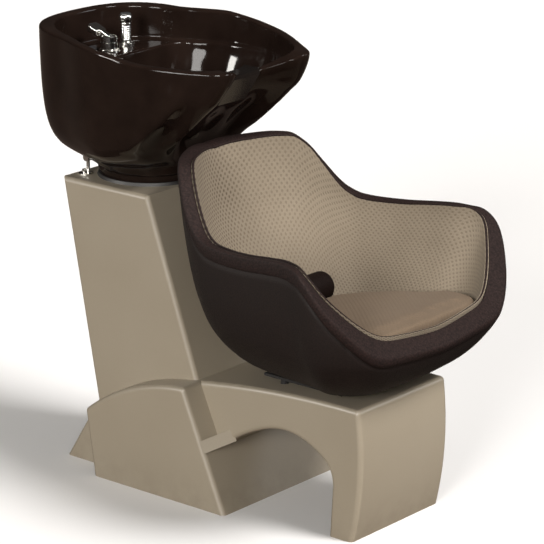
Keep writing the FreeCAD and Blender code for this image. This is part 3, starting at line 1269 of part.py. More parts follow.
def makeSpacers():
    low = "rail_base + rail_height"
    profile = tubeProfile("spacer_radius", "seat_bolt_radius + bolt_gap", low, "seat_plate_base")
    return group("SeatSpacers", [
        turned(f"Spacer{index}", profile, x, y) for index, (x, y) in enumerate(seatBoltSpots)])


def makeSeatBolts():
    foot = "rail_base - seat_bolt_head_height"
    tip = "rail_base + seat_bolt_grip"
    profile = [("0", foot), ("seat_bolt_head", foot), ("seat_bolt_head", "rail_base"),
               ("seat_bolt_radius", "rail_base"), ("seat_bolt_radius", tip), ("0", tip)]
    return group("SeatBolts", [
        turned(f"SeatBolt{index}", profile, x, y) for index, (x, y) in enumerate(seatBoltSpots)])


basinShape = makeBasin()
coverShape, shellShape, liningShape, borderShape = makeSeat()
railHoles = shaped("RailHoles", Part.makeCompound(seatBoltHoles(
    v.seat_bolt_radius + v.bolt_gap, v.rail_base - v.overrun, v.seat_plate_base)))

for name, item in {
    "pedestal_shell": shaped("PedestalShell", makePedestal()),
    "bench_shell": shaped("BenchShell", makeBench()),
    "shell_screws": shaped("ShellScrews", Part.makeCompound(
        [jointScrew(x, share) for x, share in jointScrewPlaces()])),
    "service_cover": shaped("ServiceCover", makeCover()),
    "cover_screws": shaped("CoverScrews", Part.makeCompound([coverScrew(x, z) for x, z in coverScrewPlaces()])),
    "floor_plate": makeFloorPlate(),
    "mast_posts": makePosts(),
    "mast_head": makeHead(),
    "bench_rails": cut("BenchRailsDrilled", makeRails(), railHoles),
    "leg_frame": makeLegPosts(),
    "valve_bridge": makeBridge(),
    "seat_plate": makeSeatPlate(),
    "seat_spacers": makeSpacers(),
    "seat_bolts": makeSeatBolts(),
    "seat_cover": shaped("SeatCover", coverShape),
    "seat_shell": shaped("SeatShell", shellShape),
    "seat_lining": shaped("SeatLining", liningShape),
    "seat_border": shaped("SeatBorder", borderShape),
    "seat_cushion": shaped("SeatCushion", makeCushion()),
    "lumbar_roll": shaped("LumbarRoll", makeRoll()),
    "collar": makeCollar(),
    "basin": shaped("Basin", basinShape),
    "neck_rest": shaped("NeckRest", makeNeckRest()),
    "waste_flange": makeWasteFlange(),
    "waste_nut": turned("WasteNut", tubeProfile(
        "waste_nut_radius", "waste_tube_radius", "ball_roof - waste_nut_height", "ball_roof"), "0", "ball_y"),
    "tailpiece": makeTailpiece(),
    "strainer": makeStrainer(),
    "waste_cup": makeCup(),
    "waste_trap": shaped("WasteTrap", makeTrap()),
    "waste_pipe": makeDrain(),
    "inlet_tails": inletTails(),
    "cold_stop_valve": stopValve("ColdStopValve", "-inlet_x"),
    "hot_stop_valve": stopValve("HotStopValve", "inlet_x"),
    "cold_valve_lever": valveLever("ColdValveLever", "-inlet_x"),
    "hot_valve_lever": valveLever("HotValveLever", "inlet_x"),
    "cold_hose": shaped("ColdHose", makeHose(-1)),
    "hot_hose": shaped("HotHose", makeHose(1)),
    "mixer_body": makeMixerBody(),
    "mixer_nut": makeMixerNut(),
    "mixer_tails": makeTails(),
    "mixer_cap": makeMixerCap(),
    "mixer_lever": makeMixerLever(),
    "shower_holder": makeHolder(),
    "hand_shower": makeShower(),
    "spray_face": makeFace(),
    "shower_hose": rod("ShowerHose", "shower_hose_radius", "shower_hose_length", "shower_x", "mixer_y",
                       "shower_foot - shower_hose_length"),
    "rod_lug": shaped("RodLug", makeLug(basinShape)),
    "tilt_rod": makeRod(),
    "rod_flange": shaped("RodFlange", makeRodFlange()),
    "clamp_wing": shaped("ClampWing", makeWing()),
}.items():
    node(name, item)

# Export

doc.recompute()
for item in doc.Objects:
    if "Invalid" in item.State or "Error" in item.State:
        raise RuntimeError(f"{item.Name} did not build: {item.State}")
os.makedirs("parts", exist_ok=True)
for name, item in nodes.items():
    shape = item.Shape
    if shape.isNull() or not shape.isValid() or not shape.Solids:
        raise RuntimeError(f"{name} is not a valid solid")
    shape.exportStep(f"parts/{name}.step")
    print(name, "solids", len(shape.Solids), "volume", round(shape.Volume / 1000), "cm3")
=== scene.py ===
import bmesh
import bpy
import math
import numpy as np
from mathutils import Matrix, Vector


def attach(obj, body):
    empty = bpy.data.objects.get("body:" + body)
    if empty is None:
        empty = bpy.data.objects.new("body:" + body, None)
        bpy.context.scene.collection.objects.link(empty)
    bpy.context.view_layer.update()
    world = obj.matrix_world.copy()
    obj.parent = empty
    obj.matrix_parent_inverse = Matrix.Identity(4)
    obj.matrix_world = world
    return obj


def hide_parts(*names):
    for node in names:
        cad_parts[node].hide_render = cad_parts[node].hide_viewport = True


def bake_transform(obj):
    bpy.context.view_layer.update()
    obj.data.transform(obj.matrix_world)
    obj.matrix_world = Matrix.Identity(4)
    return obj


# Hair washing unit: a glazed basin on a moulded column and a tub seat on an arched bench.
# Metres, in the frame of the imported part: -Y is where the client's feet go and Z is up.

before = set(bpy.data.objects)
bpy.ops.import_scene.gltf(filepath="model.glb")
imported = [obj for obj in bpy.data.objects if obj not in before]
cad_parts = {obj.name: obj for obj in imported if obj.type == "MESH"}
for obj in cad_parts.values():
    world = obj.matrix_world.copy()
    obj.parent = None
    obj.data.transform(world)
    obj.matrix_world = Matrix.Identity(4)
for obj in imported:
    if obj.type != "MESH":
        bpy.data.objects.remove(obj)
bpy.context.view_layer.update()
print("frame loaded:", len(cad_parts), "nodes")


# Mesh helpers

# A surface over a grid of points: rows run along the profile and columns run round the piece.
# A capped end gets one middle point, so the piece is closed.
def gridPiece(name, grid, wrapRows=False, capStart=False, capEnd=False, uv=None):
    rows, columns = grid.shape[:2]
    r = np.arange(rows if wrapRows else rows - 1)[:, None]
    c = np.arange(columns)[None, :]
    corners = [(r, c), (r, c + 1), (r + 1, c + 1), (r + 1, c)]
    quads = np.stack([(a % rows) * columns + b % columns for a, b in corners], axis=-1).reshape(-1, 4)
    points = grid.reshape(-1, 3)
    faces = quads.tolist()
    around = np.arange(columns)
    for wanted, row in ((capStart, 0), (capEnd, rows - 1)):
        if wanted:
            middle = len(points)
            points = np.vstack([points, grid[row].mean(axis=0)])
            start = row * columns
            fan = [start + around, start + (around + 1) % columns, around * 0 + middle]
            faces += np.stack(fan, axis=-1).tolist()
    mesh = bpy.data.meshes.new(name)
    mesh.from_pydata(points.tolist(), [], faces)
    if uv is not None:
        layer = mesh.uv_layers.new(name="Fabric")
        flat = np.stack([uv[a % uv.shape[0], b] for a, b in corners], axis=2).reshape(-1, 2)
        values = np.zeros((len(mesh.loops), 2), np.float32)
        values[:len(flat)] = flat
        layer.data.foreach_set("uv", values.ravel())
    return outwards(link(name, mesh))


def link(name, mesh):
    piece = bpy.data.objects.new(name, mesh)
    bpy.context.scene.collection.objects.link(piece)
    return piece


# Faces turned outwards and shaded smooth, with edges past a limit left sharp.
def outwards(piece, sharpAngle=50):
    edit = bmesh.new()
    edit.from_mesh(piece.data)
    bmesh.ops.remove_doubles(edit, verts=edit.verts, dist=1e-6)
    bmesh.ops.recalc_face_normals(edit, faces=edit.faces)
    edit.to_mesh(piece.data)
    edit.free()
    piece.data.polygons.foreach_set("use_smooth", [True] * len(piece.data.polygons))
    piece.data.set_sharp_from_angle(angle=math.radians(sharpAngle))
    return piece


def positions(mesh):
    points = np.zeros(len(mesh.vertices) * 3, np.float32)
    mesh.vertices.foreach_get("co", points)
    return points.reshape(-1, 3).astype(float)


def setPositions(mesh, points):
    mesh.vertices.foreach_set("co", points.astype(np.float32).ravel())
    mesh.update()


# A lathe turning: radius and height pairs swept round an upright axis, with closed ends.
def turning(name, profile, x, y, sides=64):
    profile = np.array(profile, float)
    angle = np.linspace(0, 2 * math.pi, sides, endpoint=False)
    radius = np.maximum(profile[:, :1], 1e-5)
    height = profile[:, 1:] + 0 * angle
    grid = np.stack([x + radius * np.cos(angle), y + radius * np.sin(angle), height], axis=-1)
    return outwards(gridPiece(name, grid, capStart=True, capEnd=True), 40)


# A round tube: circles square to a path of points, carried along it with a steady side direction.
def tubeAlong(name, path, radius, sides=12, closed=False, steady=(0, 0, 1)):
    path = np.array(path, float)
    if closed:
        ahead = np.roll(path, -1, axis=0) - np.roll(path, 1, axis=0)
    else:
        ahead = np.gradient(path, axis=0)
    ahead /= np.linalg.norm(ahead, axis=1, keepdims=True)
    across = np.cross(ahead, np.array(steady, float))
    across /= np.linalg.norm(across, axis=1, keepdims=True)
    upward = np.cross(across, ahead)
    angle = np.linspace(0, 2 * math.pi, sides, endpoint=False)
    radius = np.broadcast_to(np.asarray(radius, float), (len(path),))[:, None, None]
    ring = across[:, None] * np.cos(angle)[:, None] + upward[:, None] * np.sin(angle)[:, None]
    grid = path[:, None] + ring * radius
    return gridPiece(name, grid, wrapRows=closed, capStart=not closed, capEnd=not closed)


# Profile helpers

# Values between rows, by cubics whose slopes never pass beyond the rows' own values.
def rowsAt(levels, values, at):
    levels = np.asarray(levels, float)
    values = np.asarray(values, float)
    at = np.asarray(at, float)
    spread = (slice(None),) + (None,) * (values.ndim - 1)
    steps = np.diff(values, axis=0) / np.diff(levels)[spread]
    product = steps[:-1] * steps[1:]
    total = steps[:-1] + steps[1:]
    middle = np.where(product > 0, 2 * product / np.where(product > 0, total, 1), 0)
    slopes = np.concatenate([steps[:1], middle, steps[-1:]])
    index = np.clip(np.searchsorted(levels, at, side="right") - 1, 0, len(levels) - 2)
    wide = (...,) + (None,) * (values.ndim - 1)
    width = (levels[index + 1] - levels[index])[wide]
    t = (at - levels[index])[wide] / width
    start, end = values[index], values[index + 1]
    bend = t * (1 - t) * ((1 - t) * slopes[index] - t * slopes[index + 1]) * width
    return start + (end - start) * t * t * (3 - 2 * t) + bend


# A cubic spline through the points of a half outline, square to the middle plane at both ends.
def splineThrough(steps, points, count):
    steps = np.asarray(steps, float)
    points = np.asarray(points, float)
    gap = np.diff(steps)
    slope = np.diff(points, axis=0) / gap[:, None]
    matrix = np.diag(np.r_[2 * gap[0], 2 * (gap[:-1] + gap[1:]), 2 * gap[-1]])
    matrix += np.diag(gap, 1) + np.diag(gap, -1)
    startTangent = np.array([np.linalg.norm(slope[0]), 0])
    endTangent = np.array([-np.linalg.norm(slope[-1]), 0])
    sides = np.vstack([slope[:1] - startTangent, np.diff(slope, axis=0), endTangent - slope[-1:]]) * 6
    bend = np.linalg.solve(matrix, sides)
    at = np.linspace(steps[0], steps[-1], count)
    index = np.clip(np.searchsorted(steps, at, side="right") - 1, 0, len(gap) - 1)
    width = gap[index][:, None]
    u = (at - steps[index])[:, None] / width
    w = 1 - u
    straight = points[index] * w + points[index + 1] * u
    return straight + ((w ** 3 - w) * bend[index] + (u ** 3 - u) * bend[index + 1]) * width ** 2 / 6


def chordSteps(points):
    return np.r_[0, np.cumsum(np.linalg.norm(np.diff(points, axis=0), axis=1))]


# Radius from an upright axis, for each height and angle. Angle 0 is the back and half a turn the front.
def radiusTable(outlineAt, heights, angles, axisY, steps):
    table = []
    for height in heights:
        curve = splineThrough(steps, outlineAt(height), 1600)
        across = np.maximum(curve[:, 0], 0)
        along = curve[:, 1] - axisY
        table.append(np.interp(angles, np.arctan2(across, along), np.hypot(across, along)))
    return np.array(table)


def lookUp(table, heights, height):
    place = np.clip((height - heights[0]) / (heights[1] - heights[0]), 0, len(heights) - 1.001)
    index = place.astype(int)
    share = place - index
    column = np.arange(table.shape[1])
    return table[index, column] * (1 - share) + table[index + 1, column] * share


def evenAngles(outline, steps, count, axisY):
    curve = splineThrough(steps, outline, 4000)
    length = chordSteps(curve)
    angle = np.arctan2(np.maximum(curve[:, 0], 0), curve[:, 1] - axisY)
    angle[0], angle[-1] = 0, math.pi
    return np.interp(np.linspace(0, length[-1], count + 1), length, angle)


# A half piece's columns, repeated in mirror order to go all the way round.
def allRound(values):
    return np.concatenate([values, values[..., -2:0:-1]], axis=-1)


def fullAngles(half):
    return np.r_[half, 2 * math.pi - half[-2:0:-1]]


def fromPolar(radius, height, angle, axisY):
    return np.stack([radius * np.sin(angle), axisY + radius * np.cos(angle), height + 0 * radius], axis=-1)


# Each column's profile of radius and height is taken at even lengths, then its corners are eased
# by repeated averaging with the neighbours along the profile.
def easedProfile(radius, height, rows, passes, closed=False):
    even = np.empty((rows, radius.shape[1], 2))
    for column in range(radius.shape[1]):
        line = np.stack([radius[:, column], height[:, column]], axis=-1)
        if closed:
            line = np.vstack([line, line[:1]])
        length = chordSteps(line)
        at = np.linspace(0, length[-1], rows, endpoint=not closed)
        even[:, column, 0] = np.interp(at, length, line[:, 0])
        even[:, column, 1] = np.interp(at, length, line[:, 1])
    for _ in range(passes):
        before = np.roll(even, 1, axis=0)
        after = np.roll(even, -1, axis=0)
        eased = (before + 2 * even + after) / 4
        if closed:
            even = eased
        else:
            even[1:-1] = eased[1:-1]
    return even[..., 0], even[..., 1]


# Soft pieces swell under pressure in a cloth simulation, and no point moves further than a limit.
def swell(piece, pressure, furthest):
    rest = positions(piece.data)
    modifier = piece.modifiers.new("Cloth", "CLOTH")
    settings = modifier.settings
    settings.quality = 6
    settings.mass = 0.3
    settings.tension_stiffness = settings.compression_stiffness = 12
    settings.shear_stiffness = 6
    settings.bending_stiffness = 0.6
    settings.use_pressure = True
    settings.uniform_pressure_force = pressure
    settings.effector_weights.gravity = 0
    scene = bpy.context.scene
    for step in range(1, 21):
        scene.frame_set(step)
    evaluated = piece.evaluated_get(bpy.context.evaluated_depsgraph_get())
    moved = positions(evaluated.data) - rest
    piece.modifiers.remove(modifier)
    scene.frame_set(1)
    length = np.linalg.norm(moved, axis=1, keepdims=True)
    moved *= np.minimum(1, furthest / np.maximum(length, 1e-9))
    setPositions(piece.data, rest + moved)
    print("swelled", piece.name, "by up to", round(float(length.max()) * 1000, 1), "mm")
    return piece


def dress(piece, material, body, replaced=()):
    piece.data.materials.clear()
    piece.data.materials.append(material)
    if body:
        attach(piece, body)
    if replaced:
        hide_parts(*replaced)
    return piece


# Material helpers

def addNode(tree, kind, inputs=None, **settings):
    node = tree.nodes.new(kind)
    for name, value in settings.items():
        setattr(node, name, value)
    for name, value in (inputs or {}).items():
        if isinstance(value, bpy.types.NodeSocket):
            tree.links.new(value, node.inputs[name])
        else:
            node.inputs[name].default_value = value
    return node


def calculate(tree, operation, first, second=0.0, third=0.0):
    return addNode(tree, "ShaderNodeMath", {0: first, 1: second, 2: third}, operation=operation).outputs[0]


def mixColour(tree, factor, first, second):
    node = addNode(tree, "ShaderNodeMix", {0: factor, 6: first, 7: second}, data_type="RGBA")
    return node.outputs[2]


def remap(tree, value, low, high, newLow=0.0, newHigh=1.0, smooth=False):
    node = addNode(tree, "ShaderNodeMapRange", {0: value, 1: low, 2: high, 3: newLow, 4: newHigh})
    if smooth:
        node.interpolation_type = "SMOOTHSTEP"
    return node.outputs[0]


def newGroup(name, inputs, outputs):
    tree = bpy.data.node_groups.new(name, "ShaderNodeTree")
    for label, kind, value in inputs:
        socket = tree.interface.new_socket(label, in_out="INPUT", socket_type=kind)
        if value is not None:
            socket.default_value = value
    for label, kind in outputs:
        tree.interface.new_socket(label, in_out="OUTPUT", socket_type=kind)
    return tree, tree.nodes.new("NodeGroupInput"), tree.nodes.new("NodeGroupOutput")


# Fine grain: two noises, one small for the tooth of the surface and one broad for its tone.
def makeGrainGroup():
    tree, start, end = newGroup(
        "fineGrain",
        [("Vector", "NodeSocketVector", None), ("Size", "NodeSocketFloat", 0.002),
         ("Patch", "NodeSocketFloat", 0.2)],
        [("Tooth", "NodeSocketFloat"), ("Tone", "NodeSocketFloat")])
    place = start.outputs["Vector"]
    fine = addNode(tree, "ShaderNodeTexNoise", {
        "Vector": place, "Scale": calculate(tree, "DIVIDE", 1.0, start.outputs["Size"]),
        "Detail": 3, "Roughness": 0.6})
    broad = addNode(tree, "ShaderNodeTexNoise", {
        "Vector": place, "Scale": calculate(tree, "DIVIDE", 1.0, start.outputs["Patch"]),
        "Detail": 4, "Roughness": 0.55})
    tree.links.new(remap(tree, fine.outputs[0], 0.3, 0.7), end.inputs["Tooth"])
    tree.links.new(remap(tree, broad.outputs[0], 0.3, 0.7), end.inputs["Tone"])
    return tree


# Open knit: two sets of slanting threads cross and leave small diamond holes between them.
# Hole = sin(pi u)^2 sin(pi v)^2, where u and v run along the two slants. Ply is the yarn's fine twist.
def makeKnitGroup():
    tree, start, end = newGroup(
        "openKnit",
        [("Vector", "NodeSocketVector", None), ("Width", "NodeSocketFloat", 0.0112),
         ("Height", "NodeSocketFloat", 0.0112)],
        [("Hole", "NodeSocketFloat"), ("Thread", "NodeSocketFloat"), ("Ply", "NodeSocketFloat")])
    place = addNode(tree, "ShaderNodeSeparateXYZ", {0: start.outputs["Vector"]})
    column = calculate(tree, "DIVIDE", place.outputs[0], start.outputs["Width"])
    row = calculate(tree, "DIVIDE", place.outputs[1], start.outputs["Height"])
    waves = []
    for slant in ("ADD", "SUBTRACT"):
        turn = calculate(tree, "MULTIPLY", calculate(tree, slant, column, row), math.pi)
        wave = calculate(tree, "SINE", turn)
        waves.append(calculate(tree, "MULTIPLY", wave, wave))
    hole = remap(tree, calculate(tree, "MULTIPLY", waves[0], waves[1]), 0.12, 0.8, smooth=True)
    lay = calculate(tree, "MULTIPLY_ADD", row, 3.0, column)
    twist = calculate(tree, "SINE", calculate(tree, "MULTIPLY", lay, 9.4))
    tree.links.new(hole, end.inputs["Hole"])
    tree.links.new(calculate(tree, "SUBTRACT", 1.0, hole), end.inputs["Thread"])
    tree.links.new(calculate(tree, "MULTIPLY_ADD", twist, 0.5, 0.5), end.inputs["Ply"])
    return tree


# Low patches: a soft, noisy mask that is stronger near the floor; the moulding is darker where it is strong.
def makeLowPatchGroup():
    tree, start, end = newGroup(
        "lowPatches", [("Vector", "NodeSocketVector", None), ("Reach", "NodeSocketFloat", 0.12)],
        [("Mask", "NodeSocketFloat")])
    place = addNode(tree, "ShaderNodeSeparateXYZ", {0: start.outputs["Vector"]})
    rise = calculate(tree, "DIVIDE", place.outputs[2], start.outputs["Reach"])
    low = remap(tree, rise, 0.0, 1.0, 1.0, 0.0, smooth=True)
    noise = addNode(tree, "ShaderNodeTexNoise", {
        "Vector": start.outputs["Vector"], "Scale": 35.0, "Detail": 5})
    patchiness = remap(tree, noise.outputs[0], 0.35, 0.7)
    tree.links.new(calculate(tree, "MULTIPLY", low, patchiness), end.inputs["Mask"])
    return tree


grainGroup = makeGrainGroup()
knitGroup = makeKnitGroup()
lowPatchGroup = makeLowPatchGroup()


def newMaterial(name, **plain):
    material = bpy.data.materials.new(name)
    material.use_nodes = True
    tree = material.node_tree
    shader = tree.nodes["Principled BSDF"]
    for label, value in plain.items():
        shader.inputs[label.replace("_", " ")].default_value = value
    place = addNode(tree, "ShaderNodeTexCoord").outputs["Object"]
    return material, tree, shader, place


def useGroup(tree, group, **inputs):
    return addNode(tree, "ShaderNodeGroup", inputs, node_tree=group).outputs


def connect(tree, shader, colour=None, roughness=None, height=None, depth=0.0002):
    if colour is not None:
        tree.links.new(colour, shader.inputs["Base Color"])
    if roughness is not None:
        tree.links.new(roughness, shader.inputs["Roughness"])
    if height is not None:
        bump = addNode(tree, "ShaderNodeBump", {"Strength": 1.0, "Distance": depth, "Height": height})
        tree.links.new(bump.outputs[0], shader.inputs["Normal"])


# Fine tooth and broad tone added up, with a share for the tooth and the rest for the tone.
def mottled(tree, grain, toothShare):
    tone = calculate(tree, "MULTIPLY", grain["Tone"], 1 - toothShare)
    return calculate(tree, "MULTIPLY_ADD", grain["Tooth"], toothShare, tone)


# Colour and roughness of a look whose high tone is also its smooth one.
def toned(tree, grain, toothShare, look):
    mottle = mottled(tree, grain, toothShare)
    colour = mixColour(tree, mottle, look["low"], look["high"])
    return colour, remap(tree, mottle, 0.0, 1.0, look["rough"], look["smooth"])


def rgb(red, green, blue):
    return (red, green, blue, 1.0)


moulding = {
    "light": rgb(0.395, 0.343, 0.262), "dark": rgb(0.350, 0.300, 0.224),
    "lowPatch": rgb(0.27, 0.225, 0.165), "lowPatchReach": 0.1, "lowPatchShare": 0.35,
    "grain": 0.0016, "patch": 0.35, "peel": 0.00006, "smooth": 0.36, "rough": 0.5,
}


def makeMouldedMaterial():
    material, tree, shader, place = newMaterial("mouldedFibreglass", Coat_Weight=0.12, Coat_Roughness=0.3)
    grain = useGroup(tree, grainGroup, Vector=place, Size=moulding["grain"], Patch=moulding["patch"])
    lowPatch = useGroup(tree, lowPatchGroup, Vector=place, Reach=moulding["lowPatchReach"])
    mottle = mottled(tree, grain, 0.45)
    colour = mixColour(tree, mottle, moulding["dark"], moulding["light"])
    # The moulding darkens towards the floor, in soft patches.
    lowPatchAmount = calculate(tree, "MULTIPLY", lowPatch["Mask"], moulding["lowPatchShare"])
    colour = mixColour(tree, lowPatchAmount, colour, moulding["lowPatch"])
    roughness = remap(tree, grain["Tone"], 0.0, 1.0, moulding["smooth"], moulding["rough"])
    connect(tree, shader, colour, roughness, grain["Tooth"], moulding["peel"])
    return material


glaze = {"deep": rgb(0.0115, 0.0068, 0.0052), "warm": rgb(0.0190, 0.0115, 0.0088), "ripple": 0.00001,
         "grain": 0.03, "patch": 0.09, "smooth": 0.05, "rough": 0.1}


def makeCeramicMaterial():
    material, tree, shader, place = newMaterial("blackGlaze", Specular_IOR_Level=0.14)
    grain = useGroup(tree, grainGroup, Vector=place, Size=glaze["grain"], Patch=glaze["patch"])
    colour = mixColour(tree, grain["Tone"], glaze["deep"], glaze["warm"])
    roughness = remap(tree, grain["Tone"], 0.0, 1.0, glaze["smooth"], glaze["rough"])
    connect(tree, shader, colour, roughness, grain["Tooth"], glaze["ripple"])
    return material


linings = {
    "lining": {"thread": rgb(0.305, 0.255, 0.190), "shade": rgb(0.225, 0.184, 0.133),
               "hole": rgb(0.092, 0.066, 0.043)},
    "cushion": {"thread": rgb(0.205, 0.150, 0.100), "shade": rgb(0.152, 0.108, 0.070),
                "hole": rgb(0.105, 0.072, 0.045)},
}
knit = {"width": 0.0112, "height": 0.0112, "clear": 0.9, "faint": 0.32, "padLow": 0.02, "padHigh": 0.12,
        "bump": 0.0006, "grain": 0.0018, "patch": 0.16, "smooth": 0.78, "rough": 0.95}


# On the lining the knit follows the fabric's own UV map, and its holes carry painted shade that is strongest on
# the near half of the back, where the light shows the weave.
# On the cushion it lies flat across X and Y and is faint.
def makeLiningMaterial(name, kind):
    look = linings[kind]
    material, tree, shader, place = newMaterial(name, Specular_IOR_Level=0.2, Sheen_Weight=0.05)
    grain = useGroup(tree, grainGroup, Vector=place, Size=knit["grain"], Patch=knit["patch"])
    if kind == "lining":
        flat = addNode(tree, "ShaderNodeUVMap", uv_map="Fabric").outputs[0]
        side = addNode(tree, "ShaderNodeSeparateXYZ", {0: place}).outputs[0]
        # Painted shade: the holes are darkest on the near side and fade towards the far side.
        sideShadeDrift = calculate(tree, "MULTIPLY_ADD", grain["Tone"], 0.12, side)
        depth = remap(tree, sideShadeDrift, -0.02, 0.16, knit["clear"], knit["faint"], smooth=True)
    else:
        flat = place
        depth = remap(tree, grain["Tone"], 0.0, 1.0, knit["padLow"], knit["padHigh"])
    weave = useGroup(tree, knitGroup, Vector=flat, Width=knit["width"], Height=knit["height"])
    mottle = mottled(tree, grain, 0.55)
    colour = mixColour(tree, mottle, look["shade"], look["thread"])
    colour = mixColour(tree, calculate(tree, "MULTIPLY", weave["Hole"], depth), colour, look["hole"])
    height = calculate(tree, "MULTIPLY_ADD", weave["Ply"], 0.08, weave["Thread"])
    height = calculate(tree, "MULTIPLY_ADD", grain["Tooth"], 0.12, height)
    roughness = remap(tree, grain["Tooth"], 0.0, 1.0, knit["smooth"], knit["rough"])
    connect(tree, shader, colour, roughness, height, knit["bump"])
    return material


# Between low and high lie the fabric's own colour and the painted shade and light of its pebbles; the border's
# wide spread is painted highlight on its grain.
darkFabrics = {
    "cover": {"low": rgb(0.0075, 0.0038, 0.0028), "high": rgb(0.020, 0.0105, 0.0078),
              "size": 0.0022, "bump": 0.00025, "smooth": 0.55, "rough": 0.75, "gloss": 0.25},
    "border": {"low": rgb(0.0065, 0.0026, 0.0020), "high": rgb(0.033, 0.0150, 0.0122),
               "size": 0.0036, "bump": 0.0005, "smooth": 0.65, "rough": 0.85, "gloss": 0.2},
    "roll": {"low": rgb(0.0050, 0.0018, 0.0012), "high": rgb(0.011, 0.0045, 0.0032),
             "size": 0.002, "bump": 0.0002, "smooth": 0.6, "rough": 0.75, "gloss": 0.1},
}


# Leathercloth: pebble cells with painted shade in their valleys and painted light on their tops, and tone that
# drifts over the panel.
def makeDarkFabric(name, look):
    material, tree, shader, place = newMaterial(name, Specular_IOR_Level=look["gloss"])
    grain = useGroup(tree, grainGroup, Vector=place, Size=look["size"], Patch=0.12)
    pebble = addNode(tree, "ShaderNodeTexVoronoi", {
        "Vector": place, "Scale": 0.8 / look["size"], "Smoothness": 0.5}, feature="SMOOTH_F1")
    cell = remap(tree, pebble.outputs["Distance"], 0.1, 0.75, 1.0, 0.0)
    # Painted shade in the pebbles' valleys and painted light on their tops, from the same relief as the bump.
    pebbleShading = calculate(tree, "MULTIPLY_ADD", cell, 0.55, calculate(tree, "MULTIPLY", grain["Tooth"], 0.45))
    mottle = calculate(tree, "MULTIPLY", pebbleShading, remap(tree, grain["Tone"], 0.0, 1.0, 0.8, 1.0))
    colour = mixColour(tree, mottle, look["low"], look["high"])
    roughness = remap(tree, mottle, 0.0, 1.0, look["rough"], look["smooth"])
    height = calculate(tree, "MULTIPLY_ADD", grain["Tooth"], 0.35, cell)
    connect(tree, shader, colour, roughness, height, look["bump"])
    return material


metals = {
    "chrome": {"low": rgb(0.62, 0.61, 0.58), "high": rgb(0.80, 0.79, 0.76),
               "smooth": 0.14, "rough": 0.26, "size": 0.02},
    "zinc": {"low": rgb(0.36, 0.36, 0.35), "high": rgb(0.60, 0.60, 0.58),
             "smooth": 0.28, "rough": 0.5, "size": 0.004},
    "brass": {"low": rgb(0.50, 0.36, 0.15), "high": rgb(0.70, 0.53, 0.25),
              "smooth": 0.22, "rough": 0.45, "size": 0.005},
}


def makeMetal(name):
    look = metals[name]
    material, tree, shader, place = newMaterial(name + "Metal", Metallic=1.0)
    grain = useGroup(tree, grainGroup, Vector=place, Size=look["size"], Patch=0.05)
    connect(tree, shader, *toned(tree, grain, 0.4, look), grain["Tooth"], 0.00001)
    return material


plastics = {
    "rubber": {"low": rgb(0.008, 0.007, 0.0065), "high": rgb(0.02, 0.018, 0.016),
               "smooth": 0.45, "rough": 0.65},
    "drain": {"low": rgb(0.42, 0.42, 0.40), "high": rgb(0.55, 0.55, 0.53),
              "smooth": 0.35, "rough": 0.5},
    "lever": {"low": rgb(0.30, 0.02, 0.02), "high": rgb(0.42, 0.035, 0.03),
              "smooth": 0.3, "rough": 0.45},
    "shell": {"low": rgb(0.03, 0.03, 0.03), "high": rgb(0.06, 0.06, 0.058),
              "smooth": 0.4, "rough": 0.6},
    # Near-black and warm: a dark coat on the steel with painted shade, so the plate and bolts under the seat
    # sink into the shadow there.
    "shadowDarkCoat": {"low": rgb(0.006, 0.005, 0.0045), "high": rgb(0.014, 0.0125, 0.0115),
                   "smooth": 0.6, "rough": 0.75},
    "neckRest": {"low": rgb(0.006, 0.0045, 0.004), "high": rgb(0.010, 0.008, 0.007),
                 "smooth": 0.12, "rough": 0.22},
    "spray": {"low": rgb(0.02, 0.02, 0.02), "high": rgb(0.045, 0.045, 0.045),
              "smooth": 0.35, "rough": 0.5},
}


def makePlastic(name):
    look = plastics[name]
    material, tree, shader, place = newMaterial(name + "Plastic")
    grain = useGroup(tree, grainGroup, Vector=place, Size=0.0015, Patch=0.06)
    connect(tree, shader, *toned(tree, grain, 0.5, look), grain["Tooth"], 0.00005)
    return material


# Braided hose: two sets of fine helical strands that cross.
def makeBraid():
    material, tree, shader, place = newMaterial("braidedHose", Metallic=0.7)
    split = addNode(tree, "ShaderNodeSeparateXYZ", {0: place})
    rise = calculate(tree, "MULTIPLY", split.outputs[2], 900.0)
    swing = calculate(tree, "MULTIPLY", calculate(tree, "ADD", split.outputs[0], split.outputs[1]), 900.0)
    first = calculate(tree, "SINE", calculate(tree, "ADD", rise, swing))
    second = calculate(tree, "SINE", calculate(tree, "SUBTRACT", rise, swing))
    strand = remap(tree, calculate(tree, "MULTIPLY", first, second), -1.0, 1.0)
    colour = mixColour(tree, strand, rgb(0.16, 0.16, 0.16), rgb(0.5, 0.5, 0.49))
    connect(tree, shader, colour, remap(tree, strand, 0.0, 1.0, 0.5, 0.3), strand, 0.0003)
    return material


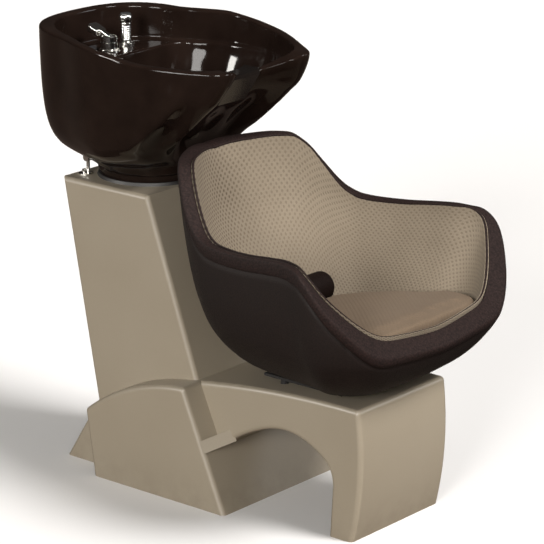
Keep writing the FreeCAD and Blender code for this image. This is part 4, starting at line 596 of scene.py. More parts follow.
finish = {
    "moulded": makeMouldedMaterial(),
    "ceramic": makeCeramicMaterial(),
    "lining_fabric": makeLiningMaterial("knittedLining", "lining"),
    "cushion_top": makeLiningMaterial("knittedCushion", "cushion"),
    "cover_fabric": makeDarkFabric("coverLeathercloth", darkFabrics["cover"]),
    "border_fabric": makeDarkFabric("borderLeathercloth", darkFabrics["border"]),
    "roll": makeDarkFabric("rollLeathercloth", darkFabrics["roll"]),
    "chrome": makeMetal("chrome"),
    "zinc": makeMetal("zinc"),
    "steel": makePlastic("shadowDarkCoat"),
    "brass": makeMetal("brass"),
    "rubber": makePlastic("rubber"),
    "neckRest": makePlastic("neckRest"),
    "drain": makePlastic("drain"),
    "lever": makePlastic("lever"),
    "shell": makePlastic("shell"),
    "sprayface": makePlastic("spray"),
    "hose": makeBraid(),
}
slotOfNode = {
    "moulded": ["pedestal_shell", "bench_shell", "service_cover"],
    "zinc": ["shell_screws", "cover_screws", "inlet_tails", "mixer_tails"],
    "steel": ["floor_plate", "mast_posts", "mast_head", "bench_rails", "leg_frame", "valve_bridge",
              "seat_plate", "seat_spacers", "seat_bolts"],
    "shell": ["seat_shell"],
    "rubber": ["collar"],
    "neckRest": ["neck_rest"],
    "chrome": ["waste_flange", "strainer", "mixer_body", "mixer_cap", "shower_holder", "rod_lug",
               "tilt_rod", "rod_flange", "clamp_wing"],
    "drain": ["waste_nut", "tailpiece", "waste_cup", "waste_trap", "waste_pipe"],
    "brass": ["cold_stop_valve", "hot_stop_valve", "mixer_nut"],
    "lever": ["cold_valve_lever", "hot_valve_lever"],
    "sprayface": ["spray_face"],
}
for slotName, names in slotOfNode.items():
    for nodeName in names:
        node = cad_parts[nodeName]
        node.data.materials.clear()
        node.data.materials.append(finish[slotName])
print("materials made:", len(bpy.data.materials))


# Basin

basin = {
    "halfWidth": 0.248, "halfLength": 0.300, "top": 1.0045, "floor": 0.689, "deck": 0.927, "notch": 0.926,
    "axisY": 0.082, "wasteRadius": 0.0235, "ballZ": 0.731, "ballRadius": 0.128, "ballFloor": 0.655,
    "pocketRadius": 0.088, "pocketRoof": 0.702, "columns": 215, "rows": 300, "ease": 3, "blend": 0.008,
    "spacingDrop": 0.06, "headroom": 0.02,
}

# Outlines from the middle of the back round to the front: heights as shares of the basin's height,
# x as shares of its half width and y of its half length.
hullShares = [
    (0, [(0, 0.682), (0.195, 0.64), (0.287, 0.585), (0.35, 0.52), (0.45, 0.395), (0.496, 0.26),
         (0.485, 0.13), (0.425, 0.01), (0.35, -0.062), (0.27, -0.1), (0.2, -0.122), (0.13, -0.132),
         (0.065, -0.136), (0, -0.137)]),
    (0.075, [(0, 0.745), (0.27, 0.7), (0.39, 0.642), (0.475, 0.56), (0.57, 0.425), (0.615, 0.262),
             (0.59, 0.12), (0.515, -0.01), (0.42, -0.085), (0.33, -0.122), (0.245, -0.142), (0.16, -0.15),
             (0.08, -0.153), (0, -0.154)]),
    (0.155, [(0, 0.895), (0.4, 0.845), (0.56, 0.745), (0.64, 0.632), (0.71, 0.478), (0.795, 0.23),
             (0.78, 0.055), (0.705, -0.065), (0.61, -0.14), (0.515, -0.185), (0.41, -0.2), (0.3, -0.188),
             (0.155, -0.182), (0, -0.18)]),
    (0.235, [(0, 0.965), (0.45, 0.9), (0.625, 0.785), (0.71, 0.65), (0.775, 0.495), (0.89, 0.195),
             (0.9, 0.035), (0.85, -0.08), (0.74, -0.18), (0.61, -0.24), (0.49, -0.27), (0.365, -0.235),
             (0.18, -0.218), (0, -0.212)]),
    (0.3, [(0, 0.995), (0.47, 0.925), (0.645, 0.808), (0.735, 0.665), (0.797, 0.508), (0.925, 0.2),
             (0.94, -0.05), (0.905, -0.145), (0.822, -0.24), (0.65, -0.305), (0.518, -0.355), (0.405, -0.285),
             (0.2, -0.265), (0, -0.258)]),
    (0.415, [(0, 1.02), (0.482, 0.95), (0.662, 0.83), (0.752, 0.683), (0.812, 0.523), (0.945, 0.21),
             (0.962, -0.08), (0.94, -0.24), (0.91, -0.37), (0.68, -0.42), (0.528, -0.495), (0.425, -0.39),
             (0.205, -0.368), (0, -0.358)]),
    (0.545, [(0, 1.037), (0.49, 0.965), (0.672, 0.842), (0.763, 0.695), (0.82, 0.535), (0.955, 0.215),
             (0.974, -0.083), (0.956, -0.262), (0.895, -0.505), (0.7, -0.55), (0.53, -0.645), (0.412, -0.55),
             (0.205, -0.51), (0, -0.495)]),
    (0.675, [(0, 1.046), (0.494, 0.973), (0.677, 0.848), (0.769, 0.701), (0.824, 0.542), (0.964, 0.221),
             (0.986, -0.083), (0.97, -0.266), (0.865, -0.57), (0.72, -0.66), (0.528, -0.79), (0.39, -0.705),
             (0.19, -0.6), (0, -0.578)]),
    (0.89, [(0, 1.056), (0.496, 0.98), (0.681, 0.853), (0.774, 0.706), (0.826, 0.551), (0.975, 0.226),
             (1, -0.083), (0.984, -0.266), (0.859, -0.523), (0.69, -0.752), (0.516, -0.893), (0.383, -0.86),
             (0.2, -0.705), (0, -0.64)]),
    (1.1, [(0, 1.058), (0.497, 0.982), (0.682, 0.855), (0.775, 0.707), (0.826, 0.551), (0.976, 0.227),
             (1, -0.083), (0.984, -0.266), (0.859, -0.523), (0.69, -0.752), (0.516, -0.893), (0.383, -0.86),
             (0.2, -0.705), (0, -0.64)]),
]
bowlShares = [
    (0.105, [(0, 0.42), (0.12, 0.41), (0.21, 0.37), (0.26, 0.31), (0.28, 0.24), (0.275, 0.17),
             (0.25, 0.11), (0.205, 0.065), (0.16, 0.035), (0.12, 0.018), (0.08, 0.006), (0.04, 0.001),
             (0, 0)]),
    (0.19, [(0, 0.452), (0.25, 0.445), (0.4, 0.395), (0.49, 0.31), (0.54, 0.19), (0.545, 0.06),
             (0.515, -0.02), (0.45, -0.08), (0.37, -0.115), (0.29, -0.135), (0.2, -0.14), (0.1, -0.141),
             (0, -0.141)]),
    (0.35, [(0, 0.465), (0.34, 0.458), (0.56, 0.395), (0.655, 0.27), (0.705, 0.13), (0.715, -0.05),
             (0.69, -0.17), (0.6, -0.255), (0.49, -0.29), (0.37, -0.278), (0.255, -0.255), (0.13, -0.242),
             (0, -0.238)]),
    (0.545, [(0, 0.49), (0.385, 0.482), (0.64, 0.425), (0.745, 0.3), (0.81, 0.15), (0.828, -0.067),
             (0.805, -0.22), (0.695, -0.39), (0.575, -0.45), (0.43, -0.45), (0.305, -0.415), (0.16, -0.4),
             (0, -0.393)]),
    (0.755, [(0, 0.505), (0.4, 0.5), (0.69, 0.455), (0.805, 0.33), (0.88, 0.17), (0.905, -0.083),
             (0.885, -0.25), (0.772, -0.487), (0.615, -0.68), (0.455, -0.735), (0.325, -0.68), (0.17, -0.575),
             (0, -0.545)]),
    (1.12, [(0, 0.51), (0.4, 0.505), (0.7, 0.46), (0.815, 0.335), (0.885, 0.175), (0.91, -0.083),
             (0.89, -0.25), (0.777, -0.49), (0.62, -0.69), (0.462, -0.765), (0.335, -0.705), (0.178, -0.6),
             (0, -0.56)]),
]
shelfShares = [(0, 0.972), (0.43, 0.89), (0.665, 0.655), (0.728, 0.51), (0.882, 0.2), (0.905, -0.03),
               (0.88, -0.2), (0.76, -0.4), (0.6, -0.5), (0.44, -0.54), (0.3, -0.5), (0.15, -0.44),
               (0, -0.42)]
rimShares = [(1.2, 1.006), (1.05, 1.004), (0.7, 0.995), (0.55, 0.987), (0.23, 0.984), (0.06, 0.968),
             (-0.11, 0.948), (-0.25, 0.926), (-0.39, 0.913), (-0.52, 0.903), (-0.65, 0.893), (-0.76, 0.886),
             (-0.9, 0.882), (-1.1, 0.88)]
notchShares = [(0, 1), (0.12, 0.97), (0.24, 0.72), (0.36, 0.3), (0.46, 0.04), (0.56, -0.25), (0.7, -1)]


def scaled(shares):
    return np.array(shares) * [basin["halfWidth"], basin["halfLength"]]


def outlinesOf(rows):
    height = basin["top"] - basin["floor"]
    levels = [basin["floor"] + level * height for level, shares in rows]
    points = np.array([scaled(shares) for level, shares in rows])
    return lambda z: rowsAt(levels, points, z), chordSteps(points[-1])


# The rim's height over any place: it falls from the back to the horns, and the notch dips in front.
def rimHeight(x, y):
    height = basin["top"] - basin["floor"]
    line = np.array(rimShares[::-1])
    rim = basin["floor"] + height * rowsAt(line[:, 0], line[:, 1], y / basin["halfLength"])
    horn = basin["floor"] + height * rimShares[-2][1]
    dip = np.array(notchShares)
    notch = horn - (horn - basin["notch"]) * rowsAt(dip[:, 0], dip[:, 1], np.abs(x) / basin["halfWidth"])
    notch = np.where(np.abs(x) > dip[-1, 0] * basin["halfWidth"], basin["top"] * 2, notch)
    return np.where(y < 0, np.minimum(rim, notch), rim)


# The glazed body is one profile carried round the waste's axis: up the outside, over the rim,
# down the inside by way of the mixer's deck, through the waste and back under the ball.
def makeBasin():
    axisY = basin["axisY"]
    hullAt, hullSteps = outlinesOf(hullShares)
    bowlAt, bowlSteps = outlinesOf(bowlShares)
    angles = evenAngles(hullAt(basin["deck"] - basin["spacingDrop"]), hullSteps, basin["columns"], axisY)
    ceiling = basin["top"] + basin["headroom"]
    heights = np.linspace(basin["floor"], ceiling, 420)
    hull = radiusTable(hullAt, heights, angles, axisY, hullSteps)
    bowlFloor = basin["floor"] + bowlShares[0][0] * (basin["top"] - basin["floor"])
    bowlHeights = np.linspace(bowlFloor, ceiling, 400)
    bowl = radiusTable(bowlAt, bowlHeights, angles, axisY, bowlSteps)
    shelf = radiusTable(lambda z: scaled(shelfShares), [0], angles, axisY, bowlSteps)[0]
    shelf = shelf + 0 * angles

    def inner(z, above):
        base = lookUp(bowl, bowlHeights, z)
        return (base + shelf + np.sqrt((base - shelf) ** 2 + basin["blend"] ** 2)) / 2 if above else base

    def rimMeets(wall):
        z = np.full(len(angles), basin["top"])
        for _ in range(12):
            radius = wall(z)
            z = rimHeight(radius * np.sin(angles), axisY + radius * np.cos(angles))
        return z

    outerTop = rimMeets(lambda z: lookUp(hull, heights, z))
    innerTop = rimMeets(lambda z: inner(z, True))
    share = np.linspace(0, 1, 60)[:, None]
    outerZ = basin["floor"] + (outerTop - basin["floor"]) * share
    outerR = lookUp(hull, heights, outerZ)
    deck = np.minimum(basin["deck"], innerTop)
    upperZ = innerTop + (deck - innerTop) * share
    upperR = inner(upperZ, True)
    lowerZ = deck + (bowlHeights[0] - deck) * share
    lowerR = inner(lowerZ, False)
    ballShare = np.linspace(0, 1, 12)[:, None]
    ballZ = basin["ballFloor"] + (basin["floor"] - basin["ballFloor"]) * ballShare + 0 * angles
    ballR = np.sqrt(basin["ballRadius"] ** 2 - (ballZ - basin["ballZ"]) ** 2)

    def ring(radius, z):
        return np.full((1, len(angles)), radius), np.full((1, len(angles)), z)

    pieces = [
        ring(basin["wasteRadius"], basin["pocketRoof"]), ring(basin["pocketRadius"], basin["pocketRoof"]),
        ring(basin["pocketRadius"], basin["ballFloor"]), (ballR, ballZ), (outerR, outerZ),
        (upperR, upperZ), (lowerR, lowerZ), ring(basin["wasteRadius"], bowlHeights[0]),
    ]
    radius = np.vstack([piece[0] for piece in pieces])
    height = np.vstack([piece[1] for piece in pieces])
    radius, height = easedProfile(radius, height, basin["rows"], basin["ease"], closed=True)
    grid = fromPolar(allRound(radius), allRound(height), fullAngles(angles), axisY)
    return outwards(gridPiece("basinBody", grid, wrapRows=True), 70)


basinBody = dress(makeBasin(), finish["ceramic"], "tilting_basin", ["basin"])
print("basin made:", len(basinBody.data.polygons), "faces")


# Tub seat

seat = {
    "halfWidth": 0.328, "back": -0.076, "front": -0.763, "bottom": 0.3125, "top": 0.763, "axisY": -0.430,
    "columns": 170, "coverSkin": 0.011, "seamDrop": 0.0318, "borderDepth": 0.0095, "borderSkin": 0.0115,
    "beadWidth": 0.008, "beadRadius": 0.0026, "liningSkin": 0.008, "puff": 0.0025, "seamGroove": 0.0022,
    "seamWidth": 0.0035, "frontSeam": 2.35, "foldWidth": 0.006, "foldDepth": 0.003, "seamOverlap": 0.0004,
    "lidPuff": 0.0015, "beadLift": 0.0006, "liningDrop": 0.001, "liningLift": 0.004,
}
planShares = [
    (0, 0), (0.27, 0.043), (0.445, 0.094), (0.635, 0.173), (0.76, 0.265), (0.81, 0.35), (0.865, 0.51),
    (0.895, 0.63), (0.93, 0.715), (0.975, 0.776), (0.984, 0.82), (0.915, 0.888), (0.735, 0.963), (0.5, 0.985),
    (0, 1),
]
# Levels as shares of the seat's height, then the back, front and half width as shares.
tubShares = [
    (0, 0.29, 0.76, 0.366), (0.04, 0.217, 0.842, 0.534), (0.107, 0.163, 0.908, 0.686),
    (0.195, 0.115, 0.955, 0.817), (0.284, 0.086, 0.985, 0.899), (0.454, 0.05, 0.997, 0.97),
    (0.697, 0.018, 1.01, 1.015), (0.89, 0, 1.024, 1.03), (1.1, -0.006, 1.032, 1.04),
]
cavityShares = [
    (0.149, 0.35, 0.862, 0.56), (0.216, 0.312, 0.903, 0.625), (0.371, 0.217, 0.938, 0.738),
    (0.549, 0.144, 0.949, 0.846), (0.727, 0.093, 0.959, 0.92), (0.993, 0.057, 0.966, 0.928),
    (1.1, 0.054, 0.974, 0.928),
]
# The opening's edge from the back to the front: half width, length, height, and the rim's outward fall.
seatRimShares = [
    (0, 0.057, 0.98, -0.14), (0.244, 0.095, 0.996, -0.14), (0.402, 0.14, 1.002, -0.12),
    (0.492, 0.172, 0.998, -0.08), (0.573, 0.21, 0.947, -0.05), (0.634, 0.249, 0.856, -0.05),
    (0.686, 0.291, 0.765, -0.08), (0.707, 0.329, 0.718, -0.12), (0.732, 0.367, 0.696, -0.15),
    (0.747, 0.424, 0.691, -0.15), (0.784, 0.511, 0.698, -0.15), (0.814, 0.614, 0.717, -0.13),
    (0.851, 0.689, 0.729, -0.06), (0.895, 0.742, 0.729, 0.08), (0.902, 0.78, 0.705, 0.25),
    (0.838, 0.841, 0.578, 0.45), (0.758, 0.881, 0.489, 0.6), (0.668, 0.908, 0.423, 0.8),
    (0.549, 0.923, 0.384, 0.95), (0, 0.94, 0.343, 1.1),
]
seatHeight = seat["top"] - seat["bottom"]
seatLength = seat["back"] - seat["front"]
plan = np.array(planShares)


def tubOutline(rows):
    rows = np.array(rows)

    def outline(z):
        back, front, half = rowsAt(rows[:, 0], rows[:, 1:], (z - seat["bottom"]) / seatHeight)
        return np.stack([plan[:, 0] * half * seat["halfWidth"],
                         seat["back"] - (back + plan[:, 1] * (front - back)) * seatLength], axis=-1)

    return outline


tubAt = tubOutline(tubShares)
cavityAt = tubOutline(cavityShares)
tubSteps = chordSteps(tubAt(seat["top"]))
seatAngles = evenAngles(tubAt(0.62), tubSteps, seat["columns"], seat["axisY"])
tubHeights = np.linspace(seat["bottom"], seat["top"] + 0.04, 300)
cavityFloor = seat["bottom"] + cavityShares[0][0] * seatHeight
cavityHeights = np.linspace(cavityFloor, seat["top"] + 0.04, 300)
tubTable = radiusTable(tubAt, tubHeights, seatAngles, seat["axisY"], tubSteps)
cavityTable = radiusTable(cavityAt, cavityHeights, seatAngles, seat["axisY"], tubSteps)


def tubRadius(z):
    return lookUp(tubTable, tubHeights, z)


def cavityRadius(z):
    return lookUp(cavityTable, cavityHeights, z)


# The rim as seen from the seat's axis: its distance, height and outward fall at each angle.
def rimPath():
    shares = np.array(seatRimShares)
    points = np.stack([shares[:, 0] * seat["halfWidth"], seat["back"] - shares[:, 1] * seatLength,
                       seat["bottom"] + shares[:, 2] * seatHeight], axis=-1)
    lengths = chordSteps(points)
    fine = rowsAt(lengths, np.column_stack([points, shares[:, 3]]), np.linspace(0, lengths[-1], 900))
    angle = np.arctan2(np.maximum(fine[:, 0], 0), fine[:, 1] - seat["axisY"])
    away = np.hypot(fine[:, 0], fine[:, 1] - seat["axisY"])
    return [np.interp(seatAngles, angle, value) for value in (away, fine[:, 2], fine[:, 3])]


rimAway, rimZ, rimFall = rimPath()


def rimAt(radius):
    return rimZ - rimFall * (radius - rimAway)


# Where a wall of the tub meets the rim line moved down by a drop, found by repeated tries.
def wallMeetsRim(radiusOf, drop, outwardShift=0.0):
    z = rimZ - drop
    for _ in range(40):
        z = 0.5 * z + 0.5 * (rimAt(radiusOf(z) + outwardShift) - drop)
    return z


def rowsBetween(low, high, count):
    share = np.linspace(0, 1, count)[:, None]
    return low + (high - low) * share


def seatGrid(radius, height):
    return fromPolar(allRound(radius), allRound(height), fullAngles(seatAngles), seat["axisY"])


# Lengths round the tub and up its wall, for fabric that follows the surface.
def fabricMap(radius, height):
    grid = seatGrid(radius, height)
    across = np.linalg.norm(np.diff(np.concatenate([grid, grid[:, :1]], axis=1), axis=1), axis=-1)
    middle = np.r_[0, np.cumsum(across[len(across) // 2])]
    up = np.linalg.norm(np.diff(grid, axis=0), axis=-1).mean(axis=1)
    upward = np.r_[0, np.cumsum(up)]
    return np.stack(np.broadcast_arrays(middle[None, :], upward[:, None]), axis=-1)


# The outer cover goes from the middle of its underside up to the border's seam and back inside.
def makeCover():
    seam = wallMeetsRim(tubRadius, seat["seamDrop"])
    outerZ = rowsBetween(tubHeights[0], seam, 64)
    outerR = tubRadius(outerZ)
    panel = np.exp(-((seatAngles - seat["frontSeam"]) * outerR / seat["seamWidth"]) ** 2)
    fold = np.exp(-((outerZ - seam) / seat["foldWidth"]) ** 2)
    outerR = outerR - seat["seamGroove"] * panel - seat["foldDepth"] * fold
    base = np.linspace(0.02, 1, 14)[:-1, None]
    baseR = base * outerR[:1]
    baseZ = np.full_like(baseR, tubHeights[0])
    innerZ = outerZ[::-1]
    innerR = outerR[::-1] - seat["coverSkin"]
    innerZ = np.maximum(innerZ, tubHeights[0] + seat["coverSkin"])
    closing = base[::-1] * innerR[-1:]
    radius = np.vstack([baseR, outerR, innerR, closing])
    height = np.vstack([baseZ, outerZ, innerZ, np.full_like(closing, tubHeights[0] + seat["coverSkin"])])
    return gridPiece("seatCover", seatGrid(radius, height), capStart=True, capEnd=True)


# The border is a padded band: up from its seam, over the rim and down beside the bead.
def makeBorder():
    outerTop = wallMeetsRim(tubRadius, 0.0)
    seam = wallMeetsRim(tubRadius, seat["seamDrop"] - seat["seamOverlap"])
    legZ = rowsBetween(seam, outerTop, 16)
    legR = tubRadius(legZ)
    swellShare = np.sin(np.linspace(0, math.pi, 16))[:, None] ** 0.7
    legR = legR + seat["puff"] * swellShare
    innerTop = wallMeetsRim(cavityRadius, 0.0, seat["beadWidth"])
    innerTopR = cavityRadius(innerTop) + seat["beadWidth"]
    share = np.linspace(0, 1, 12)[1:-1, None]
    lidR = legR[-1] + (innerTopR - legR[-1]) * share
    lidZ = rimAt(lidR) + seat["lidPuff"] * np.sin(math.pi * share)
    backTopR = tubRadius(outerTop) - seat["borderSkin"]
    backTopZ = rimAt(backTopR) - seat["borderDepth"]
    backLowR = tubRadius(seam) - seat["borderSkin"]
    radius = np.vstack([legR, lidR, innerTopR[None], innerTopR[None], backTopR[None], backLowR[None]])
    innerLowZ = innerTop - seat["borderDepth"]
    height = np.vstack([legZ, lidZ, innerTop[None], innerLowZ[None], backTopZ[None], seam[None]])
    radius, height = easedProfile(radius, height, 56, 3, closed=True)
    return gridPiece("seatBorder", seatGrid(radius, height), wrapRows=True)


def makeBead():
    top = wallMeetsRim(cavityRadius, 0.0, seat["beadWidth"] / 2)
    radius = cavityRadius(top) + seat["beadWidth"] / 2
    path = seatGrid(radius[None, :], top[None, :] + seat["beadLift"])[0]
    return tubeAlong("liningBead", path, seat["beadRadius"], sides=10, closed=True)


def makeLining():
    top = wallMeetsRim(cavityRadius, seat["liningDrop"])
    faceZ = rowsBetween(cavityFloor + seat["liningLift"], top, 70)
    faceR = cavityRadius(faceZ)
    radius = np.vstack([faceR, faceR[::-1] + seat["liningSkin"]])
    height = np.vstack([faceZ, faceZ[::-1]])
    uv = fabricMap(faceR, faceZ)
    uv = np.vstack([uv, uv[::-1]])
    return gridPiece("seatLining", seatGrid(radius, height), wrapRows=True, uv=uv)


cushion = {"crestY": -0.505, "crestZ": 0.462, "tilt": 9.6, "crownRadius": 3.0, "gap": 0.002,
           "floorGap": 0.002, "pressure": 4.0, "furthest": 0.006}


# The seat pad: a shallow dome that leans back, rounded into sides that follow the tub's hollow.
def makeCushion():
    tilt = math.radians(cushion["tilt"])
    centreY = cushion["crestY"] - math.sin(tilt) * cushion["crownRadius"]
    centreZ = cushion["crestZ"] - math.cos(tilt) * cushion["crownRadius"]

    def dome(radius):
        x = radius * np.sin(seatAngles)
        y = seat["axisY"] + radius * np.cos(seatAngles)
        return centreZ + np.sqrt(cushion["crownRadius"] ** 2 - x ** 2 - (y - centreY) ** 2)

    edgeZ = np.full(len(seatAngles), cushion["crestZ"])
    for _ in range(30):
        edgeZ = 0.5 * edgeZ + 0.5 * dome(cavityRadius(edgeZ) - cushion["gap"])
    edgeR = cavityRadius(edgeZ) - cushion["gap"]
    share = np.linspace(0.03, 1, 44)[:, None]
    topR = edgeR * share
    topZ = dome(topR)
    sideZ = rowsBetween(edgeZ, cavityFloor + cushion["floorGap"], 14)[1:]
    sideR = cavityRadius(sideZ) - cushion["gap"]
    under = np.linspace(1, 0.03, 24)[1:, None]
    radius = np.vstack([topR, sideR, sideR[-1:] * under])
    height = np.vstack([topZ, sideZ, sideZ[-1:] + 0 * under])
    radius, height = easedProfile(radius, height, 80, 3)
    return gridPiece("seatCushion", seatGrid(radius, height), capStart=True, capEnd=True)


roll = {"radius": 0.0335, "halfLength": 0.110, "y": -0.338, "z": 0.4586, "rows": 60, "sides": 48, "pleats": 16,
        "endBulge": 0.55, "pleatDepth": 0.035, "button": 0.06, "pressure": 4.0, "furthest": 0.002}


# The back roll: a cylinder whose ends are drawn in by small pleats round a button.
def makeRoll():
    t = np.linspace(0, math.pi, roll["rows"])[:, None]
    angle = np.linspace(0, 2 * math.pi, roll["sides"] * 2, endpoint=False)[None, :]
    straight = roll["halfLength"] - roll["radius"] * roll["endBulge"]
    x = -np.cos(t) * roll["radius"] * roll["endBulge"] + np.where(t < math.pi / 2, -straight, straight)
    fold = 1 - roll["pleatDepth"] * (np.cos(t) ** 2) ** 3 * (1 + np.cos(angle * roll["pleats"]))
    radius = np.maximum(np.sin(t), roll["button"]) ** 0.75 * roll["radius"] * fold
    body = np.linspace(-straight, straight, 26)[1:-1, None]
    half = roll["rows"] // 2
    x = np.vstack([x[:half], body, x[half:]]) + 0 * angle
    radius = np.vstack([radius[:half], np.full((len(body), angle.shape[1]), roll["radius"]), radius[half:]])
    grid = np.stack([x, roll["y"] + radius * np.cos(angle), roll["z"] + radius * np.sin(angle)], axis=-1)
    return gridPiece("lumbarRoll", grid, capStart=True, capEnd=True)


seatCover = dress(makeCover(), finish["cover_fabric"], "base", ["seat_cover"])
seatBorder = dress(makeBorder(), finish["border_fabric"], "base", ["seat_border"])
dress(makeBead(), finish["border_fabric"], "base")
seatLining = dress(makeLining(), finish["lining_fabric"], "base", ["seat_lining"])
swollenCushion = swell(makeCushion(), cushion["pressure"], cushion["furthest"])
swollenRoll = swell(makeRoll(), roll["pressure"], roll["furthest"])
seatCushion = dress(swollenCushion, finish["cushion_top"], "base", ["seat_cushion"])
lumbarRoll = dress(swollenRoll, finish["roll"], "base", ["lumbar_roll"])
print("seat made")


# Mixer and hand shower

mixer = {"y": 0.205, "leverZ": 0.957, "leverAngle": 18, "length": 0.060, "neck": 0.0065, "neckEnd": 0.018,
         "halfWidth": 0.0165, "shoulder": 0.010, "rootThick": 0.0060, "tipThick": 0.0112, "corner": 0.55,
         "pin": 0.003, "pinHalf": 0.0178, "root": 0.006, "tipRound": 0.012}


# The lever is a chunky paddle: rounded oblong sections along a line that leans up towards the back.
# Width is the neck's up to the cap, then widens by a smooth step; thickness grows evenly to the tip.
def makeLever():
    t = np.linspace(0, 1, 72)[:, None]
    angle = np.linspace(0, 2 * math.pi, 56, endpoint=False)[None, :]
    along = -mixer["root"] + t * (mixer["length"] + mixer["root"])
    widen = np.clip((along - mixer["neckEnd"]) / mixer["shoulder"], 0, 1)
    widen = widen * widen * (3 - 2 * widen)
    tip = np.clip((along - mixer["length"] + mixer["tipRound"]) / mixer["tipRound"], 0, 1)
    root = np.clip(-along / mixer["root"], 0, 1)
    ends = np.sqrt(np.clip(1 - tip ** 2.6, 0, 1)) * np.sqrt(np.clip(1 - root ** 2, 0, 1))
    wide = mixer["neck"] + (mixer["halfWidth"] - mixer["neck"]) * widen
    wide = wide * (0.35 + 0.65 * ends) * (ends > 0) + 1e-5
    thick = (mixer["rootThick"] + (mixer["tipThick"] - mixer["rootThick"]) * t) * ends + 1e-5
    across = np.sign(np.cos(angle)) * np.abs(np.cos(angle)) ** mixer["corner"] * wide
    upward = np.sign(np.sin(angle)) * np.abs(np.sin(angle)) ** mixer["corner"] * thick
    tilt = math.radians(mixer["leverAngle"])
    y = mixer["y"] + along * math.cos(tilt) - upward * math.sin(tilt)
    z = mixer["leverZ"] + along * math.sin(tilt) + upward * math.cos(tilt)
    grid = np.stack([across + 0 * along, y, z], axis=-1)
    return gridPiece("mixerPaddle", grid, capStart=True, capEnd=True)


def makeLeverPin():
    x = np.linspace(-mixer["pinHalf"], mixer["pinHalf"], 9)
    path = np.stack([x, 0 * x + mixer["y"], 0 * x + mixer["leverZ"]], axis=-1)
    return tubeAlong("leverPin", path, mixer["pin"], sides=24)


shower = {"x": 0.056, "y": 0.205, "foot": 0.915, "radius": 0.0134, "ring": 0.0165, "ringZ": 0.935,
          "top": 0.984, "headRadius": 0.015, "headTop": 1.0, "ribs": 7, "ribDepth": 0.0005, "gripInset": 0.0006,
          "gripLow": 0.944, "gripHigh": 0.978, "hoseRadius": 0.007, "hoseFoot": 0.826, "hoseRib": 0.0012,
          "hosePitch": 0.0032}


def makeShower():
    rise = np.linspace(shower["gripLow"], shower["gripHigh"], 70)
    wave = np.cos((rise - rise[0]) / (rise[-1] - rise[0]) * 2 * math.pi * shower["ribs"])
    inset = shower["radius"] - shower["gripInset"]
    grip = [(inset + shower["ribDepth"] * bend, z) for z, bend in zip(rise, wave)]
    radius, ring, ringZ, head = (shower[key] for key in ("radius", "ring", "ringZ", "headRadius"))
    top, headTop = shower["top"], shower["headTop"]
    handle = [(0.0, shower["foot"]), (radius, shower["foot"]), (radius, ringZ),
              (ring, ringZ), (ring, ringZ + 0.0035), (radius, ringZ + 0.0045)]
    face = [(radius - 0.001, top - 0.002), (head, top + 0.002), (head, headTop - 0.002),
            (head - 0.0015, headTop), (0.0, headTop)]
    return turning("handShower", handle + grip + face, shower["x"], shower["y"])


lever = makeLever()
leverPin = makeLeverPin()
dress(lever, finish["chrome"], "mixer_lever", ["mixer_lever"])
dress(leverPin, finish["chrome"], "mixer_lever")
dress(makeShower(), finish["chrome"], "hand_shower", ["hand_shower"])


hoses = {
    "inletX": 0.060, "inletY": 0.088, "start": 0.330, "rise": 0.470, "crossX": 0.011, "crossY": 0.141,
    "cross": 0.640, "turn": 0.812, "tailX": 0.009, "tailY": 0.205, "end": 0.863, "radius": 0.0049,
}


# Inside the column each supply hose is one smooth curve from its valve to the mixer's tail.
def makeHose(name, hand):
    points = [(hand * hoses["inletX"], hoses["inletY"], hoses["start"]),
              (hand * hoses["inletX"], hoses["inletY"], hoses["rise"]),
              (hand * hoses["crossX"], hoses["crossY"], hoses["cross"]),
              (hand * hoses["tailX"], hoses["tailY"], hoses["turn"]),
              (hand * hoses["tailX"], hoses["tailY"], hoses["end"])]
    curve = bpy.data.curves.new(name + "Line", "CURVE")
    curve.dimensions = "3D"
    spline = curve.splines.new("NURBS")
    spline.points.add(len(points) - 1)
    for point, spot in zip(spline.points, points):
        point.co = (*spot, 1)
    spline.order_u = 3
    spline.use_endpoint_u = True
    spline.resolution_u = 16
    carrier = bpy.data.objects.new(name + "Line", curve)
    line = bpy.data.meshes.new_from_object(carrier)
    path = positions(line)
    bpy.data.objects.remove(carrier)
    bpy.data.curves.remove(curve)
    bpy.data.meshes.remove(line)
    return tubeAlong(name, path, hoses["radius"], sides=14, steady=(1, 0, 0))


for name, hand, nodeName in (("coldHose", -1, "cold_hose"), ("hotHose", 1, "hot_hose")):
    hose = dress(makeHose(name, hand), finish["hose"], None, [nodeName])
    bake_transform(hose)


def makeShowerHose():
    z = np.linspace(shower["hoseFoot"], shower["foot"] - 0.0005, 160)
    wave = 0.5 + 0.5 * np.cos(z / shower["hosePitch"] * 2 * math.pi)
    radius = shower["hoseRadius"] - shower["hoseRib"] * wave
    path = np.stack([0 * z + shower["x"], 0 * z + shower["y"], z], axis=-1)
    return tubeAlong("showerHose", path, radius, sides=20, steady=(1, 0, 0))


dress(makeShowerHose(), finish["chrome"], "hand_shower", ["shower_hose"])
print("fittings made")


# Floor, light and camera

studio = {
    "floorSize": 30.0, "floorSeen": rgb(0.93, 0.93, 0.925), "floorBounce": rgb(0.22, 0.19, 0.16),
    "floorMirrored": rgb(0.11, 0.085, 0.072),
    "worldColour": rgb(1.0, 0.96, 0.91), "worldLevel": 0.26, "worldMirrored": rgb(0.028, 0.024, 0.022),
    "cameraPlace": (-4.718, -4.232, 2.394), "cameraAim": (0.7322, 0.6144, -0.2940),
    "lens": 194.56, "sensor": 36.0,
}
# Broad lights with no place of their own: where each comes from, level, spread in degrees and colour.
suns = {
    "sideSun": ((-1.0, -0.35, 0.32), 2.15, 18.0, (1.0, 0.97, 0.94)),
    "frontSun": ((0.20, -0.92, 1.10), 3.1, 20.0, (1.0, 0.97, 0.95)),
}
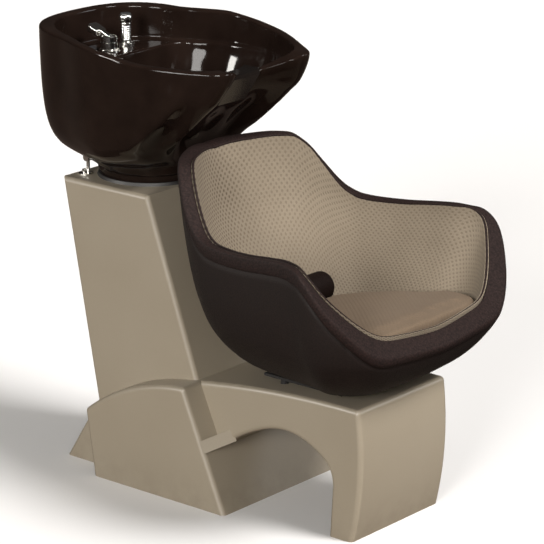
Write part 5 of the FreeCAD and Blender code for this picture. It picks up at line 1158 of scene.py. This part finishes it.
# Softboxes that only the glaze and chrome mirror: place, what each looks at, width, height, power and colour.
softboxes = {
    "keySoftbox": ((-2.6, -2.5, 3.1), (0.0, -0.2, 0.5), 0.8, 0.8, 150.0, (1.0, 0.97, 0.92)),
    "sideSoftbox": ((-2.3, 1.4, 1.7), (0.0, 0.0, 0.8), 0.45, 0.6, 60.0, (1.0, 0.97, 0.92)),
    "fillSoftbox": ((2.6, -3.0, 1.8), (0.0, -0.3, 0.5), 1.0, 1.0, 30.0, (0.95, 0.97, 1.0)),
}


# The floor looks white to the camera and greyer to the piece, so little light bounces up from it.
def makeFloor():
    half = studio["floorSize"] / 2
    mesh = bpy.data.meshes.new("studioFloor")
    corners = [(-half, -half, 0), (half, -half, 0), (half, half, 0), (-half, half, 0)]
    mesh.from_pydata(corners, [], [(0, 1, 2, 3)])
    floor = link("studioFloor", mesh)
    material, tree, shader, place = newMaterial("paleFloor", Roughness=0.9, Specular_IOR_Level=0.0)
    path = addNode(tree, "ShaderNodeLightPath")
    unseen = mixColour(tree, path.outputs["Is Glossy Ray"], studio["floorBounce"], studio["floorMirrored"])
    connect(tree, shader, mixColour(tree, path.outputs["Is Camera Ray"], unseen, studio["floorSeen"]))
    mesh.materials.append(material)


def makeWorld():
    world = bpy.data.worlds.new("studioWorld")
    bpy.context.scene.world = world
    world.use_nodes = True
    tree = world.node_tree
    tree.nodes.clear()
    path = addNode(tree, "ShaderNodeLightPath").outputs

    def glow(colour, level):
        return addNode(tree, "ShaderNodeBackground", {"Color": colour, "Strength": level}).outputs[0]

    def choose(ray, first, second):
        return addNode(tree, "ShaderNodeMixShader", {0: path[ray], 1: first, 2: second}).outputs[0]

    lit = glow(studio["worldColour"], studio["worldLevel"])
    mirrored = glow(studio["worldMirrored"], 1.0)
    seen = choose("Is Camera Ray", choose("Is Glossy Ray", lit, mirrored), glow(rgb(1, 1, 1), 1.0))
    tree.links.new(seen, addNode(tree, "ShaderNodeOutputWorld").inputs["Surface"])


def placeLamp(name, lamp, place, aim):
    holder = bpy.data.objects.new(name, lamp)
    holder.location = place
    holder.rotation_euler = (Vector(aim) - Vector(place)).to_track_quat("-Z", "Y").to_euler()
    bpy.context.scene.collection.objects.link(holder)
    return holder


def makeLights():
    for name, (place, level, spread, colour) in suns.items():
        sun = bpy.data.lights.new(name, "SUN")
        sun.energy = level
        sun.angle = math.radians(spread)
        sun.color = colour
        placeLamp(name, sun, place, (0, 0, 0))
    for name, (place, aim, width, height, power, colour) in softboxes.items():
        lamp = bpy.data.lights.new(name, "AREA")
        lamp.shape = "RECTANGLE"
        lamp.size = width
        lamp.size_y = height
        lamp.energy = power
        lamp.color = colour
        placeLamp(name, lamp, place, aim).visible_diffuse = False


def makeCamera():
    data = bpy.data.cameras.new("photoCamera")
    data.lens = studio["lens"]
    data.sensor_width = studio["sensor"]
    camera = bpy.data.objects.new("photoCamera", data)
    camera.location = studio["cameraPlace"]
    camera.rotation_euler = Vector(studio["cameraAim"]).to_track_quat("-Z", "Y").to_euler()
    bpy.context.scene.collection.objects.link(camera)
    bpy.context.scene.camera = camera


makeFloor()
makeWorld()
makeLights()
makeCamera()
bpy.context.scene.view_settings.view_transform = "Standard"
print("studio made")
